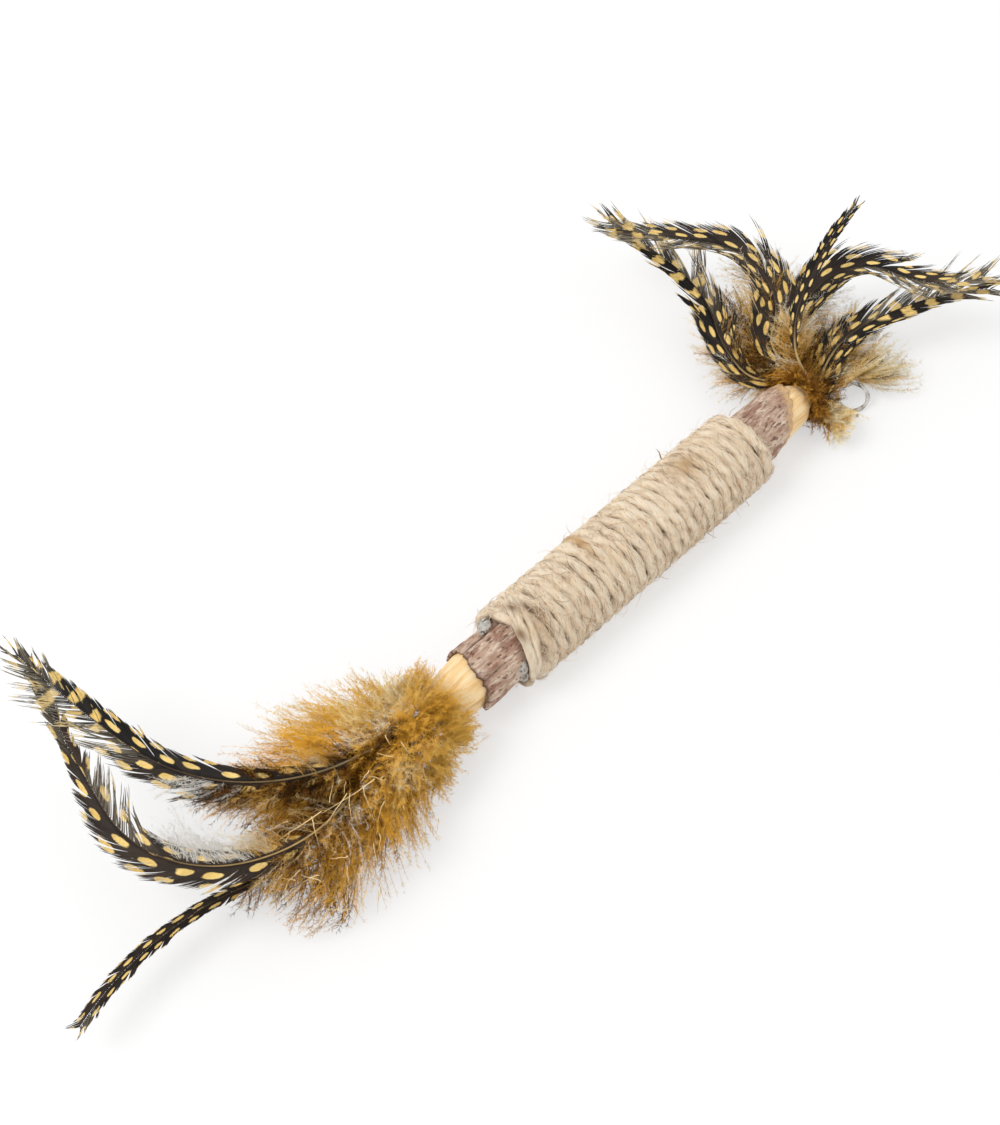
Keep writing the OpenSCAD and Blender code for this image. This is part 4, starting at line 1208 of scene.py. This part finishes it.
def down_piece(name, shape, angles, seed, locks, material, slot, *, ends, tone, short, sweep, girth,
               root_rho=(0.3, 0.6), span=(0, 1), stray=(0.018, 3.5), rim_glow=np.ones_like, uneven=0.08,
               softness=0.8, collar=None, quills=None, clear=None):
    """Locks of barbs that stand out from the middle of a shape, each barb with its barbules."""
    rng = np.random.default_rng(seed)
    n = locks * LOCK_BARBS

    def by_lock(values):
        return np.repeat(values, LOCK_BARBS)

    t_end = by_lock(rng.uniform(*span, locks)) + rng.normal(0, stray[0], n)
    a_end = by_lock(rng.uniform(*angles, locks)) + rng.normal(0, stray[1], n)
    t_root = t_end - lookup(sweep, t_end) - rng.normal(0, 0.035, n)
    a_root = a_end + rng.normal(0, 9, n)
    rho_root = rng.uniform(*root_rho, n)
    rim = rng.uniform(*ends, n) * by_lock(rng.uniform(0.92, 1.08, locks))
    rho_end = rim * short(t_end, a_end)
    r = np.linspace(0, 1, BARB_POINTS)[None, :]
    t = t_root[:, None] + (t_end - t_root)[:, None] * r ** rng.uniform(0.8, 1.7, n)[:, None]
    a = a_root[:, None] + (a_end - a_root)[:, None] * r ** 0.8
    rho = rho_root[:, None] + (rho_end - rho_root)[:, None] * r ** 0.9
    lines = shape.point(t, a, rho) + rng.normal(size=(n, 1, 3)) * r[..., None] ** 2
    lines = lines + np.cumsum(rng.normal(0, 0.09, lines.shape), axis=1)
    lines[..., 2] = np.maximum(lines[..., 2], 0.3 + 0.8 * rng.random((n, 1)) * (1 - r))
    shade = tone(t_end, a_end) + by_lock(rng.normal(0, uneven, locks)) + rng.normal(0, 0.04, n)
    # Painted light: the tone rises towards each barb's end, and most at the tuft's rim, as a painted glow of
    # light through the thin down
    tips = rim_glow(a_end)[:, None] * np.maximum(rim[:, None] * r - 0.85, 0)
    shade = np.clip(shade[:, None] + 0.4 * (r - 0.45) * r + tips, 0, 1)
    if clear:
        middle, way, radius = clear
        away = lines - middle
        away = np.linalg.norm(away - (away @ way)[..., None] * way, axis=-1).min(axis=1) > radius
        lines, shade = lines[away], shade[away]
    gather = Strands("tone")
    loose_barbs(gather, lines, rng, BARB, 36, (0.8, 2.4), girth, tone=shade)
    if collar:
        number, *places, low, high = collar
        lines = collar_lines(rng, number, *places)
        shade = np.clip(rng.uniform(low, high, (number, 1)) + 0.2 * (r - 0.5), 0, 1)
        loose_barbs(gather, lines, rng, BARB, 36, (0.8, 2.4), girth, tone=shade)
    if quills is not None:
        gather.add(quills, np.tile(0.12 * (1 - 0.75 * r), (len(quills), 1)), tone=0.8)
    piece = gather.piece(name + "_down", floor=0.12)
    soften_normals(piece, *shape.heart, softness)
    finish_piece(piece, material, "stick", slot, name)


def pale_quills(shape):
    """The bare, branching quill along the parting and short ones that show among the barbs."""
    rng = np.random.default_rng(31)
    r = np.linspace(0, 1, BARB_POINTS)
    lines = []
    for (t0, a0), (t1, a1), low, high in TUFT_QUILLS:
        lines.append((t0 + (t1 - t0) * r, a0 + (a1 - a0) * r, low + (high - low) * r))
    for _ in range(34):
        t, a = rng.uniform(0.3, 0.92), rng.uniform(96, 185)
        along, turn = rng.uniform(0.02, 0.09) * r, rng.uniform(-14, 14) * r
        lines.append((t + along, a + turn, rng.uniform(0.88, 0.97) + 0.12 * r))
    lines = np.array([shape.point(*line) for line in lines])
    return lines + np.cumsum(rng.normal(0, 0.12, lines.shape), axis=1)


def build_left_down():
    """The five pieces of the golden tuft."""
    material = down_material("golden_barbs", GOLDEN_STOPS, 0.12)
    shape = TuftShape()

    def parting(t, a):
        return np.exp(-((a - 98 - 20 * smooth(t, 0.3, 0.65)) / 23) ** 2) * smooth(t, 0.2, 0.42)

    # Painted light: the tone is raised on the ridges at the upper back and lower front as painted highlight,
    # and lowered in the parting as painted shade
    def tone(t, a):
        ridge_highlight = 0.14 * np.cos(np.radians(a - 40)) + 0.09 * np.cos(np.radians(a - 190))
        top = hump(a, 105, 50)
        return (0.5 + ridge_highlight - 0.26 * smooth(a, 110, 160) * smooth(t, 0.38, 0.62) - 0.6 * parting(t, a)
                - 0.22 * top * smooth(t, 0.55, 0.9) - 0.09 * top * smooth(t, 0.5, 0.3)
                + 0.1 * waves(40, t * 9, a * 0.06))

    def short(t, a):
        front = hump(a, 175, 55) * smooth(t, 0.55, 0.3)
        back = hump(a, 36, 42) * smooth(t, 0.85, 0.6)
        low = hump(a, 172, 40) * smooth(t, 0.35, 0.6) * smooth(t, 1.0, 0.85)
        return (1 - 0.2 * front - 0.13 * low - 0.2 * back - 0.3 * parting(t, a)
                + 0.14 * hump(a, 100, 30) * smooth(t, 0.5, 0.15))

    # Painted light: how strongly the tips at the rim glow pale, by the angle round the tuft
    def rim_glow(a):
        return np.where(a < 116, 3 * smooth(a, 71, 31), 1.2 * smooth(a, 180, 212))

    def shaded_tone(t, a):
        return tone(t, a) - 0.22

    for i, (name, (angles, locks)) in enumerate(LEFT_PLUMES.items()):
        top = name.startswith("top")
        if name.startswith("under"):
            look = {"ends": (0.7, 1.0), "tone": shaded_tone, "girth": 2.2}
        else:
            look = {"ends": (0.72, 1.12), "tone": tone, "girth": 1.15}
        down_piece(name, shape, angles, 200 + i, locks, material, "golden_down", **look, short=short,
                   sweep=TUFT_SWEEP, span=(0, 1 if i < 3 else 0.92), rim_glow=rim_glow,
                   collar=TUFT_COLLAR if top else INNER_COLLAR, quills=pale_quills(shape) if top else None)


def build_right_down():
    """The four plumes of thinner, greenish brown down."""
    material = down_material("olive_barbs", OLIVE_STOPS, 0.25)
    clear = (RING_MIDDLE, unit(CAMERA_WAY), RING_RADIUS + 0.3)

    def even(t, a):
        return 1

    for i, (name, (root, yaw, size, level, locks)) in enumerate(RIGHT_PLUMES.items()):

        def tone(t, a):
            return level - 0.3 * smooth(t, 0.6, 0.1) + 0.25 * waves(50, t * 8, a * 0.05)

        down_piece(name, PlumeShape(root, yaw, size), (0, 360), 240 + i, locks, material, "brown_down",
                   ends=(0.6, 1.3), tone=tone, short=even, sweep=PLUME_SWEEP, girth=1.35, clear=clear,
                   root_rho=(0.05, 0.4), stray=(0.06, 14), uneven=0.3, softness=0.5,
                   collar=RIGHT_COLLAR if name.startswith("middle") else None)


# Camera and stage

def place_camera():
    """The camera, where a fit to the photograph puts it."""
    s = bpy.context.scene.twig_stage
    data = bpy.data.cameras.new("photo_camera")
    camera = bpy.data.objects.new("photo_camera", data)
    bpy.context.scene.collection.objects.link(camera)
    data.lens = s.lens
    data.sensor_width = 36
    data.clip_start = 0.01
    camera.location = s.camera_place
    camera.rotation_euler = (math.radians(90 - s.camera_elevation), 0, math.radians(s.camera_azimuth))
    bpy.context.scene.camera = camera


def soft_lamp(name, place, aim, size, power):
    """A round lamp that points at a place."""
    data = bpy.data.lights.new(name, "AREA")
    data.shape = "DISK"
    data.size = size
    data.energy = power
    lamp = bpy.data.objects.new(name, data)
    bpy.context.scene.collection.objects.link(lamp)
    lamp.location = place
    lamp.rotation_euler = (Vector(aim) - Vector(place)).to_track_quat("-Z", "Y").to_euler()


def build_floor():
    """The white table, which gives the camera some light of its own, so that it looks white."""
    s = bpy.context.scene.twig_stage
    deselect_all()
    bpy.ops.mesh.primitive_plane_add(size=s.floor_size, location=(0, 0, 0))
    floor = bpy.context.object
    floor.name = "floor"
    material, tree, body = new_material("white_table", Roughness=0.9)
    body.inputs["Base Color"].default_value = (0.97, 0.97, 0.97, 1)
    rays = node(tree, "ShaderNodeLightPath").outputs
    seen = math_node(tree, "MAXIMUM", rays["Is Glossy Ray"], rays["Is Transmission Ray"])
    seen = math_node(tree, "MAXIMUM", rays["Is Camera Ray"], seen)
    white = node(tree, "ShaderNodeEmission", {"Color": (1, 1, 1, 1), "Strength": 1.0}).outputs[0]
    share = times(tree, seen, 0.55)
    mixed = node(tree, "ShaderNodeMixShader", {0: share, 1: body.outputs[0], 2: white})
    tree.links.new(mixed.outputs[0], tree.nodes["Material Output"].inputs[0])
    floor.data.materials.append(material)


# Settings

class StageSettings(bpy.types.PropertyGroup):
    lens: bpy.props.FloatProperty(name="Lens", description="Focal length of the camera", default=67.6)
    camera_place: bpy.props.FloatVectorProperty(
        name="Camera", description="Where the camera stands", default=(-0.22226, -0.17435, 0.39953),
        size=3, unit="LENGTH")
    camera_azimuth: bpy.props.FloatProperty(name="Azimuth", description="Turn of the camera", default=-45.49)
    camera_elevation: bpy.props.FloatProperty(name="Elevation", description="Its height angle", default=55)
    floor_size: bpy.props.FloatProperty(
        name="Floor", description="Side of the floor", default=6, unit="LENGTH")


class BarkSettings(bpy.types.PropertyGroup):
    raggedness: bpy.props.FloatProperty(
        name="Raggedness", description="How ragged the bark's ends are", default=1)


class TwineSettings(bpy.types.PropertyGroup):
    turns: bpy.props.IntProperty(name="Turns", description="Turns of the twine", default=27)
    twine_width: bpy.props.FloatProperty(
        name="Width", description="Width of the twine", default=0.0033, unit="LENGTH")
    lay: bpy.props.FloatProperty(
        name="Lay", description="Length of one twist of the plies", default=0.013, unit="LENGTH")
    fibres: bpy.props.IntProperty(name="Fibres", description="How many loose fibres show", default=6000)
    jute: bpy.props.FloatVectorProperty(
        name="Jute", description="Main colour of the fibres", default=linear("#ffecd0"),
        size=4, subtype="COLOR")


class FeatherSettings(bpy.types.PropertyGroup):
    dark: bpy.props.FloatVectorProperty(
        name="Dark", description="Darkest colour of the vanes", default=linear("#0e0a07"),
        size=4, subtype="COLOR")
    brown: bpy.props.FloatVectorProperty(
        name="Brown", description="Lighter ground colour of the vanes", default=linear("#41342a"),
        size=4, subtype="COLOR")


# Operators

class TWIG_OT_stage(bpy.types.Operator):
    """Adds the camera, the lamps, the world and the floor"""
    bl_idname = "twig.stage"
    bl_label = "Stage"

    def execute(self, context):
        scene = context.scene
        scene.view_settings.view_transform = "Standard"
        place_camera()
        build_floor()
        world = bpy.data.worlds.new("pale_room")
        scene.world = world
        world.use_nodes = True
        world.node_tree.nodes["Background"].inputs[0].default_value = (1, 1, 1, 1)
        world.node_tree.nodes["Background"].inputs[1].default_value = 0.77
        soft_lamp("key", (-1.2, 0.6, 1.9), (0, 0, 0), 1.3, 23)
        return {"FINISHED"}


class TWIG_OT_wood(bpy.types.Operator):
    """Makes the pared twig and finishes its pith"""
    bl_idname = "twig.wood"
    bl_label = "Wood and pith"

    def execute(self, context):
        build_wood()
        dress(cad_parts["pith"], pith_material())
        return {"FINISHED"}


class TWIG_OT_bark(bpy.types.Operator):
    """Makes the bark, with its ragged left end and slanted right end"""
    bl_idname = "twig.bark"
    bl_label = "Bark"

    def execute(self, context):
        build_bark()
        return {"FINISHED"}


class TWIG_OT_twine(bpy.types.Operator):
    """Winds the two-ply jute twine and its loose fibres"""
    bl_idname = "twig.twine"
    bl_label = "Twine"

    def execute(self, context):
        build_twine()
        return {"FINISHED"}


class TWIG_OT_glue(bpy.types.Operator):
    """Makes the crinkled dabs and the thread with its ring, and finishes the glue plugs"""
    bl_idname = "twig.glue"
    bl_label = "Glue"

    def execute(self, context):
        build_glue()
        return {"FINISHED"}


class TWIG_OT_feathers(bpy.types.Operator):
    """Makes the eight spotted feathers"""
    bl_idname = "twig.feathers"
    bl_label = "Feathers"

    def execute(self, context):
        material = spotted_vane_material()
        for name in FEATHERS:
            build_feather(name, material)
        return {"FINISHED"}


class TWIG_OT_down(bpy.types.Operator):
    """Makes the golden down on the left and the brown down on the right"""
    bl_idname = "twig.down"
    bl_label = "Down"

    def execute(self, context):
        build_left_down()
        build_right_down()
        return {"FINISHED"}


class TWIG_PT_toy(bpy.types.Panel):
    """Lists the pieces of the twig toy"""
    bl_idname = "TWIG_PT_toy"
    bl_label = "Twig toy"
    bl_space_type = "VIEW_3D"
    bl_region_type = "UI"
    bl_category = "Twig toy"

    def draw(self, context):
        scene = context.scene
        for operator, settings in STEPS:
            box = self.layout.box()
            box.operator(operator)
            if settings:
                group = getattr(scene, settings)
                for key in group.bl_rna.properties.keys():
                    if key not in {"rna_type", "name"}:
                        box.prop(group, key)


# The operators in their order, each with its settings
STEPS = (("twig.stage", "twig_stage"), ("twig.wood", None), ("twig.bark", "twig_bark"),
         ("twig.twine", "twig_twine"), ("twig.glue", None), ("twig.feathers", "twig_feathers"),
         ("twig.down", None))
SETTINGS = {"twig_stage": StageSettings, "twig_bark": BarkSettings, "twig_twine": TwineSettings,
            "twig_feathers": FeatherSettings}
CLASSES = (*SETTINGS.values(), TWIG_OT_stage, TWIG_OT_wood, TWIG_OT_bark, TWIG_OT_twine, TWIG_OT_glue,
           TWIG_OT_feathers, TWIG_OT_down, TWIG_PT_toy)


def register():
    for c in CLASSES:
        bpy.utils.register_class(c)
    for name, group in SETTINGS.items():
        setattr(bpy.types.Scene, name, bpy.props.PointerProperty(type=group))


def unregister():
    for name in SETTINGS:
        delattr(bpy.types.Scene, name)
    for c in reversed(CLASSES):
        bpy.utils.unregister_class(c)


def main():
    register()
    deselect_all()
    for operator, _ in STEPS:
        family, name = operator.split(".")
        getattr(getattr(bpy.ops, family), name)()


if __name__ == "__main__":
    main()
